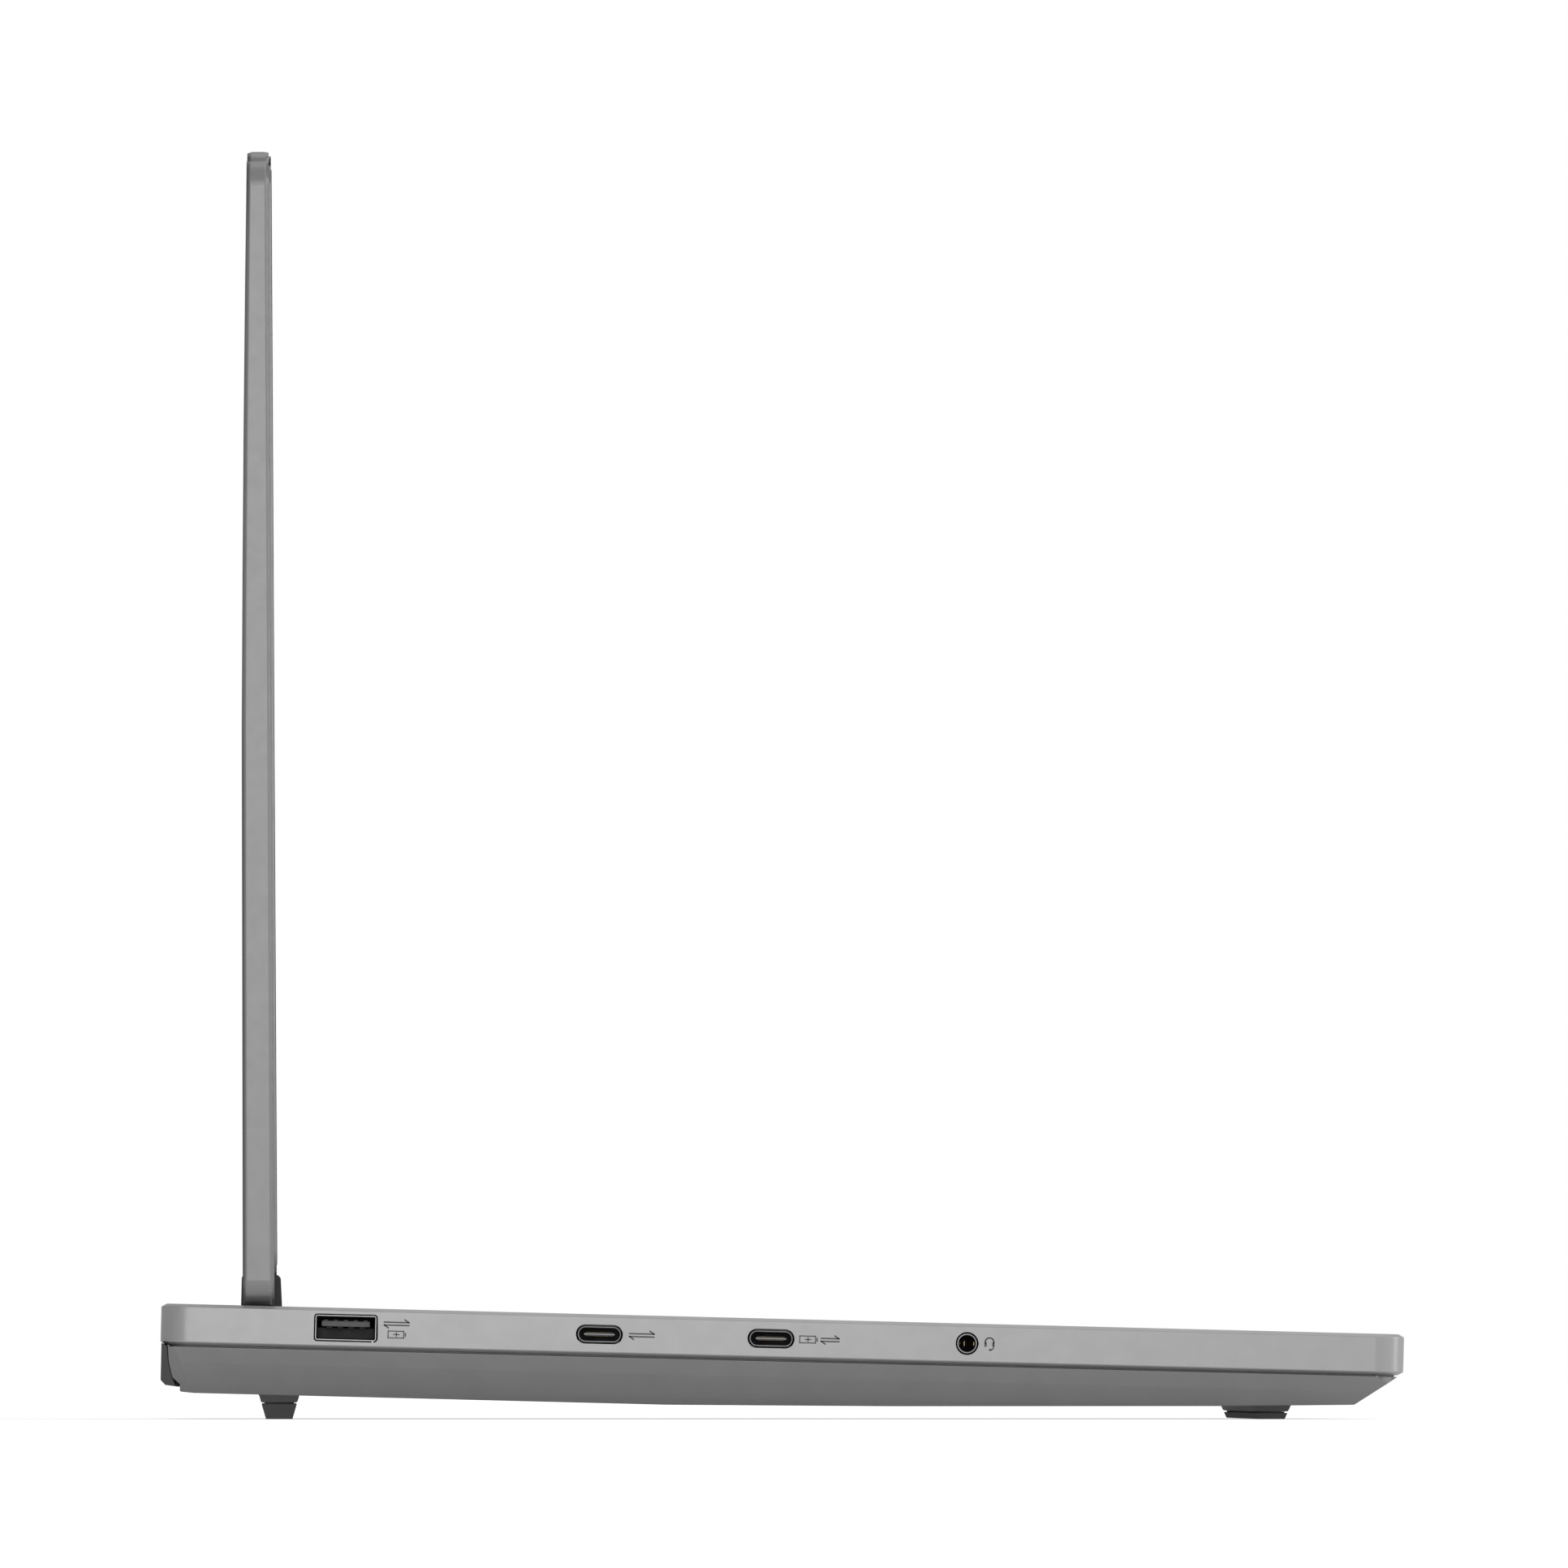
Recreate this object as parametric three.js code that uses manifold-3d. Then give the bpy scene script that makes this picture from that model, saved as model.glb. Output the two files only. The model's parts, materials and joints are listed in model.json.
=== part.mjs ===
// A 15-inch performance laptop, opened to about a right angle, as an assembly of separate pieces.
//
// Frame: +X to the user's right, +Y towards the rear, +Z up, in millimetres. The origin is on the
// surface that the feet stand on, under the middle of the base.
//
// The base is a wedge: its deck slopes down towards the user by DECK_TILT. All of the base is
// modelled in the deck's own frame, where w = 0 is the top of the deck, and one group tilts it.
// The lid is modelled about the hinge axis, with z running up the lid and -y facing the user.
import * as THREE from "three";
import { mergeVertices } from "three/addons/utils/BufferGeometryUtils.js";
import Module from "manifold-3d";

const wasm = await Module();
wasm.setup();

// ---------------------------------------------------------------- driving dimensions
const WIDTH = 344.5;
const DEPTH = 255;
const CORNER_R = 6;
const DECK_TILT = THREE.MathUtils.degToRad(1.43);
const DECK_Z = 20.55; // height of the deck above the table at the origin
const DECK_SHIFT_Y = -0.1; // centres the tilted base over the origin

const UPPER_HEIGHT = 8.4; // side wall of the upper case
const UPPER_CHAMFER = { inward: 1.15, height: 0.62 };
const CASE_WALL = 1.6;
const DECK_THICK = 1.4;
const SEAM = 0.35; // gap between the upper case and what is under it
const GAP = 0.3; // gap kept between pieces that touch

const COVER_WALL = 1.4;
const COVER_INSET = 0.65; // the bottom cover starts this far inside the upper case
const COVER_REAR_Y = 123.4; // where the cover's floor ends and the rear bezel begins
const BEZEL_REAR_Y = DEPTH / 2 - 0.2;
const REAR_CORNER_R = 2.5;
const REAR_BEZEL_W = -16.7;

const HINGE_Y = 107.25; // hinge axis along the deck
const HINGE_W = 3.75; // hinge axis above the deck
const LID_LEAN = THREE.MathUtils.degToRad(-0.31);
const KNUCKLE_X0 = 105;
const KNUCKLE_X1 = 140;
const KNUCKLE_TOP = 6.5;
const CHANNEL = { front: 4.95, rear: 4.3, depth: 1.6 }; // groove in the deck that the lid's edge turns in

const LID_HALF_X = 171.7;
const LID_TOP = 231;
const LID_BOTTOM = -3.5;
const LID_R = 5;
const LID_FRONT = -2.85; // front rim of the back cover
const BEZEL_FRONT = -3.33;
const LID_THICK = 7; // at the hinge; the lid tapers to 5 mm at the top
const LID_TAPER = 2;
const LID_TAPER_FROM = 30;
const LID_SKIN = 1.1;
const BUMP_HALF_X = 62; // the tab for the camera, above the lid's top edge
const BUMP_HEIGHT = 5.2;
const BUMP_SLOPE = 1.1; // the top of the tab's ends is a shallow slope this high
const BEZEL_BOTTOM = 3.5;
const SCREEN_HALF_X = 162.8;
const SCREEN_Z0 = 17.5;
const SCREEN_Z1 = 221.3;
const CAMERA_Z = 228.7;

const KEY_PITCH_X = 18;
const KEY_PITCH_Y = 18;
const KEY_GAP = 2.6; // between neighbouring caps
const FUNCTION_PITCH_Y = 11;
const KEYS_X0 = -161.5;
const KEYS_REAR_Y = 80;
const NUMPAD_X0 = 101.5;
const NUMPAD_PITCH_X = 15;
const CAP_TOP_W = -0.35;
const CAP_BASE_W = -3;
const FRAME_TOP_W = -1.7;
const FRAME_THICK = 0.9;

const TOUCHPAD = { x0: -91, x1: 29, y0: -115, y1: -41 };

const PORT_W = -4.1; // centre line of the side ports, below the deck
const REAR_PORT_W = -12.6;
const LEFT_PORTS = { usbA: 89.6, usbC1: 37.6, usbC2: 2.4, audio: -37.8 };
const RIGHT_PORTS = { usbA: 89.6, shutter: 20 };
const REAR_PORTS = { video: -38, usbA: -10, power: 28 };

// ---------------------------------------------------------------- solids
function solidOf(geometry) {
  const bare = geometry.clone();
  for (const name of Object.keys(bare.attributes)) {
    if (name !== "position") bare.deleteAttribute(name);
  }
  const merged = mergeVertices(bare, 1e-4);
  return new wasm.Manifold(
    new wasm.Mesh({
      numProp: 3,
      vertProperties: new Float32Array(merged.attributes.position.array),
      triVerts: new Uint32Array(merged.index.array),
    }),
  );
}

function geometryOf(solid) {
  const mesh = solid.getMesh();
  const positions = new Float32Array(mesh.numVert * 3);
  for (let i = 0; i < mesh.numVert; i++) {
    positions.set(mesh.vertProperties.subarray(i * mesh.numProp, i * mesh.numProp + 3), i * 3);
  }
  const geometry = new THREE.BufferGeometry();
  geometry.setAttribute("position", new THREE.BufferAttribute(positions, 3));
  geometry.setIndex(new THREE.BufferAttribute(mesh.triVerts, 1));
  return geometry;
}

const join = (...solids) => solids.reduce((a, b) => a.add(b));
const cut = (body, ...tools) => tools.reduce((a, b) => a.subtract(b), body);

// A box between two corners.
function block(x0, x1, y0, y1, z0, z1) {
  const geometry = new THREE.BoxGeometry(x1 - x0, y1 - y0, z1 - z0);
  geometry.translate((x0 + x1) / 2, (y0 + y1) / 2, (z0 + z1) / 2);
  return solidOf(geometry);
}

// A cylinder along x, y or z that starts at (x, y, z).
function rod(radius, length, axis, x, y, z, segments = 20) {
  const geometry = new THREE.CylinderGeometry(radius, radius, length, segments);
  if (axis === "x") geometry.rotateZ(-Math.PI / 2);
  if (axis === "z") geometry.rotateX(Math.PI / 2);
  const along = { x: [1, 0, 0], y: [0, 1, 0], z: [0, 0, 1] }[axis].map((v) => (v * length) / 2);
  geometry.translate(x + along[0], y + along[1], z + along[2]);
  return solidOf(geometry);
}

function roundedShape(x0, x1, y0, y1, r) {
  const shape = new THREE.Shape();
  shape.moveTo(x0 + r, y0);
  shape.lineTo(x1 - r, y0);
  shape.absarc(x1 - r, y0 + r, r, -Math.PI / 2, 0);
  shape.lineTo(x1, y1 - r);
  shape.absarc(x1 - r, y1 - r, r, 0, Math.PI / 2);
  shape.lineTo(x0 + r, y1);
  shape.absarc(x0 + r, y1 - r, r, Math.PI / 2, Math.PI);
  shape.lineTo(x0, y0 + r);
  shape.absarc(x0 + r, y0 + r, r, Math.PI, Math.PI * 1.5);
  return shape;
}

const polygon = (points) => new THREE.Shape(points.map(([a, b]) => new THREE.Vector2(a, b)));

// A flat shape given a thickness from z0 to z1.
function plate(shape, z0, z1, curveSegments = 4) {
  const options = { depth: z1 - z0, bevelEnabled: false, curveSegments };
  const geometry = new THREE.ExtrudeGeometry(shape, options);
  geometry.translate(0, 0, z0);
  return solidOf(geometry);
}

const slab = (x0, x1, y0, y1, z0, z1, r) => plate(roundedShape(x0, x1, y0, y1, r), z0, z1);

// A (y, z) profile swept along x.
function alongX(points, x0, x1) {
  const geometry = new THREE.ExtrudeGeometry(polygon(points), { depth: x1 - x0, bevelEnabled: false });
  // shape x, y and depth become y, z and x
  geometry.applyMatrix4(new THREE.Matrix4().set(0, 0, 1, x0, 1, 0, 0, 0, 0, 1, 0, 0, 0, 0, 0, 1));
  return solidOf(geometry);
}

// An (x, z) shape swept along y.
function alongY(shape, y0, y1, curveSegments = 4) {
  const options = { depth: y1 - y0, bevelEnabled: false, curveSegments };
  const geometry = new THREE.ExtrudeGeometry(shape, options);
  // shape y becomes z, and depth becomes -y
  geometry.rotateX(Math.PI / 2);
  geometry.translate(0, y1, 0);
  return solidOf(geometry);
}

// ---------------------------------------------------------------- materials
const paint = (color, roughness, metalness = 0) =>
  new THREE.MeshStandardMaterial({ color, roughness, metalness });
const LOOKS = {
  shell: paint(0xb4b4b6, 0.45, 0.2),
  shade: paint(0x77777a, 0.55),
  dark: paint(0x3c3c3e, 0.7),
  rubber: paint(0x353535, 0.9),
  key: paint(0x8a8a8d, 0.6),
  black: paint(0x101011, 0.4),
  steel: paint(0xa8aaad, 0.35, 0.9),
  copper: paint(0xb87345, 0.35, 0.9),
  board: paint(0x14301f, 0.6),
  cell: paint(0x1c1c1e, 0.6),
};

const laptop = new THREE.Group();
const base = new THREE.Group();
base.rotation.x = DECK_TILT;
base.position.set(0, DECK_SHIFT_Y, DECK_Z);
laptop.add(base);

const lid = new THREE.Group();
const hinge = new THREE.Vector3(0, HINGE_Y, HINGE_W).applyEuler(base.rotation).add(base.position);
lid.position.copy(hinge);
lid.rotation.x = LID_LEAN;
laptop.add(lid);

function place(group, name, look, solid) {
  const mesh = new THREE.Mesh(geometryOf(solid), LOOKS[look]);
  mesh.name = name;
  group.add(mesh);
}

// Adds a left piece and its mirror image as NAME_left and NAME_right.
function placePair(group, name, look, right) {
  place(group, `${name}_right`, look, right);
  place(group, `${name}_left`, look, right.mirror([1, 0, 0]));
}

// ---------------------------------------------------------------- keyboard layout
// Cap widths in key pitches, row by row. The main block is 14.5 pitches wide.
const unit = (count) => Array(count).fill(1);
const MAIN_ROWS = [
  { name: "function_keys", widths: Array(15).fill(14.5 / 15) },
  { name: "number_keys", widths: [0.8, ...unit(12), 1.7] },
  { name: "upper_letter_keys", widths: [1.3, ...unit(12), 1.2] },
  { name: "home_letter_keys", widths: [1.55, ...unit(11), 1.95] },
  { name: "lower_letter_keys", widths: [2.05, ...unit(10), 2.45] },
];
const ROW_TOPS = [0, 1, 2, 3, 4, 5, 6].map(
  (row) => KEYS_REAR_Y - (row > 0 ? FUNCTION_PITCH_Y + (row - 1) * KEY_PITCH_Y : 0),
);
const rowPitch = (row) => (row === 0 ? FUNCTION_PITCH_Y : KEY_PITCH_Y);

// The cells of one row from x0: {x0, x1, y0, y1}, pitch to pitch.
function rowCells(row, widths, x0, pitch = KEY_PITCH_X) {
  let x = x0;
  return widths.map((width) => {
    const cell = { x0: x, x1: x + width * pitch, y0: ROW_TOPS[row] - rowPitch(row), y1: ROW_TOPS[row] };
    x = cell.x1;
    return cell;
  });
}

function numpadCells() {
  const widths = [unit(4), unit(4), unit(4), unit(3), unit(4), [2, 1]];
  const cells = widths.flatMap((row, i) => rowCells(i, row, NUMPAD_X0, NUMPAD_PITCH_X));
  // the last keys of the third and fifth rows are two rows tall
  for (const cell of [cells[11], cells[18]]) cell.y0 -= KEY_PITCH_Y;
  return cells;
}

function keyGroups() {
  const groups = MAIN_ROWS.map(({ name, widths }, row) => ({ name, cells: rowCells(row, widths, KEYS_X0) }));
  const at = (pitches) => KEYS_X0 + pitches * KEY_PITCH_X;
  groups.push({ name: "left_modifier_keys", cells: rowCells(5, [1.3, 1, 1, 1], at(0)) });
  groups.push({ name: "space_bar", cells: rowCells(5, [5.2], at(4.3)) });
  groups.push({ name: "right_modifier_keys", cells: rowCells(5, unit(3), at(9.5)) });
  groups.push({ name: "arrow_keys", cells: [...rowCells(5, [1], at(12.5)), ...rowCells(6, unit(3), at(11.5))] });
  groups.push({ name: "numpad_keys", cells: numpadCells() });
  return groups;
}
const KEY_GROUPS = keyGroups();
const KEYS_X1 = NUMPAD_X0 + 4 * NUMPAD_PITCH_X;
const KEYS_FRONT_Y = ROW_TOPS[6];
const ARROWS_FRONT_Y = KEYS_FRONT_Y - KEY_PITCH_Y;
const ARROWS_X0 = KEYS_X0 + 11.5 * KEY_PITCH_X;
const ARROWS_X1 = KEYS_X0 + 14.5 * KEY_PITCH_X;

// The outline of the keyboard window, with its step for the arrow keys, grown by a margin.
function keyboardOutline(margin) {
  const m = margin;
  return polygon([
    [KEYS_X0 - m, KEYS_FRONT_Y - m],
    [ARROWS_X0 - m, KEYS_FRONT_Y - m],
    [ARROWS_X0 - m, ARROWS_FRONT_Y - m],
    [ARROWS_X1 + m, ARROWS_FRONT_Y - m],
    [ARROWS_X1 + m, KEYS_FRONT_Y - m],
    [KEYS_X1 + m, KEYS_FRONT_Y - m],
    [KEYS_X1 + m, KEYS_REAR_Y + m],
    [KEYS_X0 - m, KEYS_REAR_Y + m],
  ]);
}

function keycap(cell) {
  const inset = KEY_GAP / 2;
  const taper = 0.35;
  const width = cell.x1 - cell.x0 - 2 * inset;
  const depth = cell.y1 - cell.y0 - 2 * inset;
  const geometry = new THREE.BoxGeometry(width, depth, CAP_TOP_W - CAP_BASE_W);
  const position = geometry.attributes.position;
  for (let i = 0; i < position.count; i++) {
    if (position.getZ(i) < 0) continue;
    position.setX(i, position.getX(i) - Math.sign(position.getX(i)) * taper);
    position.setY(i, position.getY(i) - Math.sign(position.getY(i)) * taper);
  }
  geometry.translate((cell.x0 + cell.x1) / 2, (cell.y0 + cell.y1) / 2, (CAP_TOP_W + CAP_BASE_W) / 2);
  return solidOf(geometry);
}

// One group of caps on the thin carrier that joins them under the frame.
function keyGroup(cells) {
  const half = 2.5;
  const [w0, w1] = [CAP_BASE_W - 0.5, CAP_BASE_W + 0.02];
  const middle = (c) => [(c.x0 + c.x1) / 2, (c.y0 + c.y1) / 2];
  const parts = cells.map(keycap);
  const rows = [...new Set(cells.map((c) => c.y1))];
  for (const top of rows) {
    const row = cells.filter((c) => c.y1 === top).map(middle);
    const y = Math.max(...row.map((m) => m[1]));
    const xs = row.map((m) => m[0]);
    parts.push(block(Math.min(...xs) - half, Math.max(...xs) + half, y - half, y + half, w0, w1));
  }
  if (rows.length > 1) {
    const ys = cells.map((c) => middle(c)[1]);
    const spine = middle(cells.find((c) => c.y1 === Math.max(...rows)))[0];
    parts.push(block(spine - half, spine + half, Math.min(...ys), Math.max(...ys), w0, w1));
  }
  return join(...parts);
}

function keyboardFrame() {
  const inset = KEY_GAP / 2 - 0.5; // the caps clear the frame by 0.5 mm all round
  const cells = KEY_GROUPS.flatMap((group) => group.cells);
  const holes = cells.map((c) => block(c.x0 + inset, c.x1 - inset, c.y0 + inset, c.y1 - inset, -4, 0));
  return cut(plate(keyboardOutline(1.5), FRAME_TOP_W - FRAME_THICK, FRAME_TOP_W), ...holes);
}

// ---------------------------------------------------------------- upper case
const SCREWS = [
  [-161, -112.5],
  [161, -112.5],
  [-158, 114],
  [158, 114],
  [0, 86.2],
];
const coverFloor = (y) => {
  // underside of the bottom cover along the deck, straight between these stations
  const at = COVER_PROFILE.find(([y1], i) => i > 0 && y <= y1) || COVER_PROFILE.at(-1);
  const before = COVER_PROFILE[COVER_PROFILE.indexOf(at) - 1];
  const share = (y - before[0]) / (at[0] - before[0]);
  return before[1] + share * (at[1] - before[1]);
};
const COVER_PROFILE = [
  [-117.6, -14.7],
  [-89.4, -15.65],
  [-22.9, -17.35],
  [23.6, -18.2],
  [120.4, -18.2],
  [COVER_REAR_Y - 0.4, -18],
];

function hingeBracketSlot(side) {
  const [x0, x1] = side > 0 ? [112, 132] : [-132, -112];
  return block(x0, x1, HINGE_Y - 3.2, HINGE_Y + 3.2, -4, 1);
}

// A flat-sided tunnel through a side wall, for a port of that outer size.
function wallCutout(side, y, w, width, height, r) {
  const shape = roundedShape(y - width / 2, y + width / 2, w - height / 2, w + height / 2, r);
  const geometry = new THREE.ExtrudeGeometry(shape, { depth: 6, bevelEnabled: false, curveSegments: 4 });
  geometry.applyMatrix4(new THREE.Matrix4().set(0, 0, 1, 0, 1, 0, 0, 0, 0, 1, 0, 0, 0, 0, 0, 1));
  geometry.translate(side > 0 ? WIDTH / 2 - 4 : -WIDTH / 2 - 2, 0, 0);
  return solidOf(geometry);
}

// The outer size of each kind of socket shell, its corner radius and the gap round it in the wall.
const SOCKETS = {
  usbA: { width: 12.66, height: 5.3, r: 0.5, length: 13.5, gap: 0.2 },
  usbC: { width: 8.94, height: 3.26, r: 1.6, length: 7, gap: 0.35 },
  video: { width: 15, height: 5.6, r: 0.8, length: 11, gap: 0.3 },
  power: { width: 12, height: 5.4, r: 0.6, length: 11, gap: 0.3 },
};
const AUDIO_R = 2.1;
const AUDIO_GAP = 0.25;
const SHUTTER = { travel: 2.8, width: 5, height: 1.8 };

function upperCase() {
  const [hx, hy] = [WIDTH / 2, DEPTH / 2];
  const { inward, height } = UPPER_CHAMFER;
  const outer = new THREE.ExtrudeGeometry(roundedShape(-hx, hx, -hy, hy, CORNER_R), {
    depth: UPPER_HEIGHT - 2 * height,
    bevelThickness: height,
    bevelSize: inward,
    bevelOffset: -inward,
    bevelSegments: 1,
    curveSegments: 6,
  });
  outer.translate(0, 0, -UPPER_HEIGHT + height);
  const inner = CORNER_R - CASE_WALL;
  const [ix, iy] = [hx - CASE_WALL, hy - CASE_WALL];
  let body = cut(solidOf(outer), slab(-ix, ix, -iy, iy, -UPPER_HEIGHT - 1, -DECK_THICK, inner));

  // a thicker strip under the hinge groove, and the screw bosses
  body = join(body, block(-ix - 0.2, ix + 0.2, HINGE_Y - 5.6, HINGE_Y + 5.6, -2.9, -1.3));
  for (const [x, y] of SCREWS) {
    const foot = coverFloor(y) + COVER_WALL + GAP;
    body = body.add(rod(2.4, -1.3 - foot, "z", x, y, foot, 12));
    body = body.subtract(rod(1.1, 8, "z", x, y, foot - 1, 12));
  }

  const channelEnd = hx - 1.45;
  body = cut(
    body,
    block(-channelEnd, channelEnd, HINGE_Y - CHANNEL.front, HINGE_Y + CHANNEL.rear, -CHANNEL.depth, 1),
    hingeBracketSlot(1),
    hingeBracketSlot(-1),
    plate(keyboardOutline(0.6), -2, 1),
    slab(TOUCHPAD.x0 - 0.4, TOUCHPAD.x1 + 0.4, TOUCHPAD.y0 - 0.4, TOUCHPAD.y1 + 0.4, -2, 1, 2),
    slab(-8.5, 8.5, 90.2, 97.8, -2, 1, 3.7),
  );
  // the deck is thinner over the tall sockets
  const pocket = (side, y) => {
    const [x0, x1] = side > 0 ? [hx - 15, hx - CASE_WALL] : [-hx + CASE_WALL, -hx + 15];
    return block(x0, x1, y - 7, y + 7, -3, -0.9);
  };
  const socket = (side, y, { width, height, r, gap }) =>
    wallCutout(side, y, PORT_W, width + 2 * gap, height + 2 * gap, r + gap);
  return cut(
    body,
    pocket(-1, LEFT_PORTS.usbA),
    pocket(1, RIGHT_PORTS.usbA),
    socket(-1, LEFT_PORTS.usbA, SOCKETS.usbA),
    socket(-1, LEFT_PORTS.usbC1, SOCKETS.usbC),
    socket(-1, LEFT_PORTS.usbC2, SOCKETS.usbC),
    rod(AUDIO_R + AUDIO_GAP, 8, "x", -hx - 2, LEFT_PORTS.audio, PORT_W, 32),
    socket(1, RIGHT_PORTS.usbA, SOCKETS.usbA),
    wallCutout(
      1,
      RIGHT_PORTS.shutter + SHUTTER.travel / 2,
      PORT_W,
      SHUTTER.width + SHUTTER.travel + 0.7,
      SHUTTER.height + 0.6,
      0.9,
    ),
  );
}

// ---------------------------------------------------------------- bottom cover and rear bezel
// The slanted sides of the cover, seen from the front: half the width at each depth.
const SIDE_SLOPE = [
  [171.6, -UPPER_HEIGHT - SEAM],
  [169.4, -12],
  [166.6, -15.2],
  [163.2, -18.4],
];

// Where the cover's side walls end at the rear, seen from the side. The rear bezel goes on behind them.
const EAR_EDGE = [
  [123.6, -17.7],
  [124.9, -15],
  [125.7, -12],
  [126, -UPPER_HEIGHT - SEAM],
];

// A slanted facet cuts each rear corner, through these points in the deck's frame.
const REAR_FACET = new THREE.Plane().setFromCoplanarPoints(
  new THREE.Vector3(171.6, 125, -8.75),
  new THREE.Vector3(169.2, BEZEL_REAR_Y, -8.75),
  new THREE.Vector3(164.2, 121.9, -17.5),
);

function trimRearCorners(solid, inset = 0) {
  const { normal, constant } = REAR_FACET;
  const right = solid.trimByPlane([normal.x, normal.y, normal.z], inset - constant);
  return right.trimByPlane([-normal.x, normal.y, normal.z], inset - constant);
}

// The slanted sides of the cover as an outline from the front, pulled in by inset, up to height top.
function sideOutline(inset, top) {
  const slope = SIDE_SLOPE.map(([x, w]) => [x - inset, w]);
  slope[0][1] = top;
  return polygon([...slope.map(([x, w]) => [-x, w]), ...slope.reverse()]);
}

// The cover's outer volume, or with an inset the room inside it, which is open above and at the rear.
function coverBody(inset, floorLift) {
  const top = -UPPER_HEIGHT - SEAM + (inset > 0 ? 1 : 0);
  const frontTop = -DEPTH / 2 + 1.2 + inset * 1.3;
  const rear = inset > 0 ? [[140, -17 + floorLift], [140, top]] : EAR_EDGE;
  const floor = COVER_PROFILE.map(([y, w]) => [y + (y < -100 ? inset * 1.1 : 0), w + floorLift]);
  const halfX = WIDTH / 2 - COVER_INSET - inset;
  const outline = roundedShape(-halfX, halfX, frontTop - 0.01, 160, CORNER_R - COVER_INSET - inset);
  const body = alongX([[frontTop, top], ...floor, ...rear], -180, 180)
    .intersect(alongY(sideOutline(inset, top + 0.01), -140, 145))
    .intersect(plate(outline, -30, 0, 5));
  return trimRearCorners(body, inset);
}

const LIP = { bottom: -9.05, top: -7.95, splitX: 165 };

// A thin rim that stands up inside the upper case's wall and closes the view through the seam.
function seamLip() {
  const [x, y] = [WIDTH / 2 - CASE_WALL - 0.25, DEPTH / 2 - CASE_WALL - 0.25];
  const ring = cut(
    slab(-x, x, -y, y, LIP.bottom, LIP.top, 4.15),
    slab(-x + 1.3, x - 1.3, -y + 1.15, y - 1.1, LIP.bottom - 1, LIP.top + 1, 3),
  );
  const rearStrip = (halfX) => block(-halfX, halfX, 120, 130, -12, 0);
  return { onCover: cut(ring, rearStrip(LIP.splitX)), onBezel: ring.intersect(rearStrip(LIP.splitX - GAP)) };
}

// Slots through the floor, each along y, centred on (x, y).
function floorSlots(xs, y, length, width) {
  return xs.map((x) => block(x - width / 2, x + width / 2, y - length / 2, y + length / 2, -20, -12));
}
const steps = (first, count, pitch) => Array.from({ length: count }, (_, i) => first + i * pitch);

// Each foot is a bar across the base whose sides lean in towards the table: rubber below the split, and a
// plinth of the cover above it.
const FOOT_HALF_X = 140;
const FEET = {
  rear: { y: 103.2, widthOnTable: 5.5, lean: 0.287, split: 3.4, plinthTop: 5.6 },
  front: { y: -100.9, widthOnTable: 5.6, lean: 0.44, split: 1.55, plinthTop: 3.1 },
};

function footBar({ y, widthOnTable, lean }, z0, z1, shrink = 0) {
  const geometry = new THREE.BoxGeometry(2, 2, z1 - z0);
  geometry.translate(0, 0, (z0 + z1) / 2);
  const position = geometry.attributes.position;
  for (let i = 0; i < position.count; i++) {
    const spread = position.getZ(i) * lean - shrink;
    position.setX(i, Math.sign(position.getX(i)) * (FOOT_HALF_X + spread));
    position.setY(i, y + Math.sign(position.getY(i)) * (widthOnTable / 2 + spread));
  }
  return solidOf(geometry);
}

// The rubber has a neck just inside its edge, and a key that is glued into the plinth.
const rubberFoot = (foot) =>
  join(
    footBar(foot, 0, foot.split - 0.3),
    footBar(foot, foot.split - 0.6, foot.split - 0.03, 0.65),
    footBar(foot, foot.split - 0.1, foot.split + 0.7, 2.1),
  );

// Turns a solid of the table's frame into the deck's frame.
function toDeckFrame(solid) {
  const back = base.matrix.clone().compose(base.position, base.quaternion, base.scale).invert();
  return solid.transform(back.elements);
}

function bottomCover() {
  let body = cut(
    coverBody(0, 0),
    coverBody(COVER_WALL, COVER_WALL),
    block(-164, 164, COVER_REAR_Y - 0.1, 140, -20, 0),
  );
  body = join(body, seamLip().onCover);
  for (const foot of Object.values(FEET)) {
    body = body.add(toDeckFrame(footBar(foot, foot.split, foot.plinthTop)));
    body = body.subtract(toDeckFrame(footBar(foot, foot.split - 1, foot.split + 0.9, 1.8)));
  }
  const fanSlots = steps(74, 13, 5.2);
  body = cut(
    body,
    ...floorSlots(fanSlots, 66, 46, 2.8),
    ...floorSlots(fanSlots.map((x) => -x), 66, 46, 2.8),
    ...floorSlots(steps(-33, 12, 6), 62, 34, 2.8),
    ...floorSlots(steps(124, 6, 4.4), -66, 12, 1.8),
    ...floorSlots(steps(-124, 6, -4.4), -66, 12, 1.8),
  );
  for (const [x, y] of SCREWS) {
    const floor = coverFloor(y);
    body = cut(body, rod(1.4, 6, "z", x, y, floor - 2, 12), rod(2.6, 2, "z", x, y, floor - 1.2, 16));
  }
  return body;
}

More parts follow.
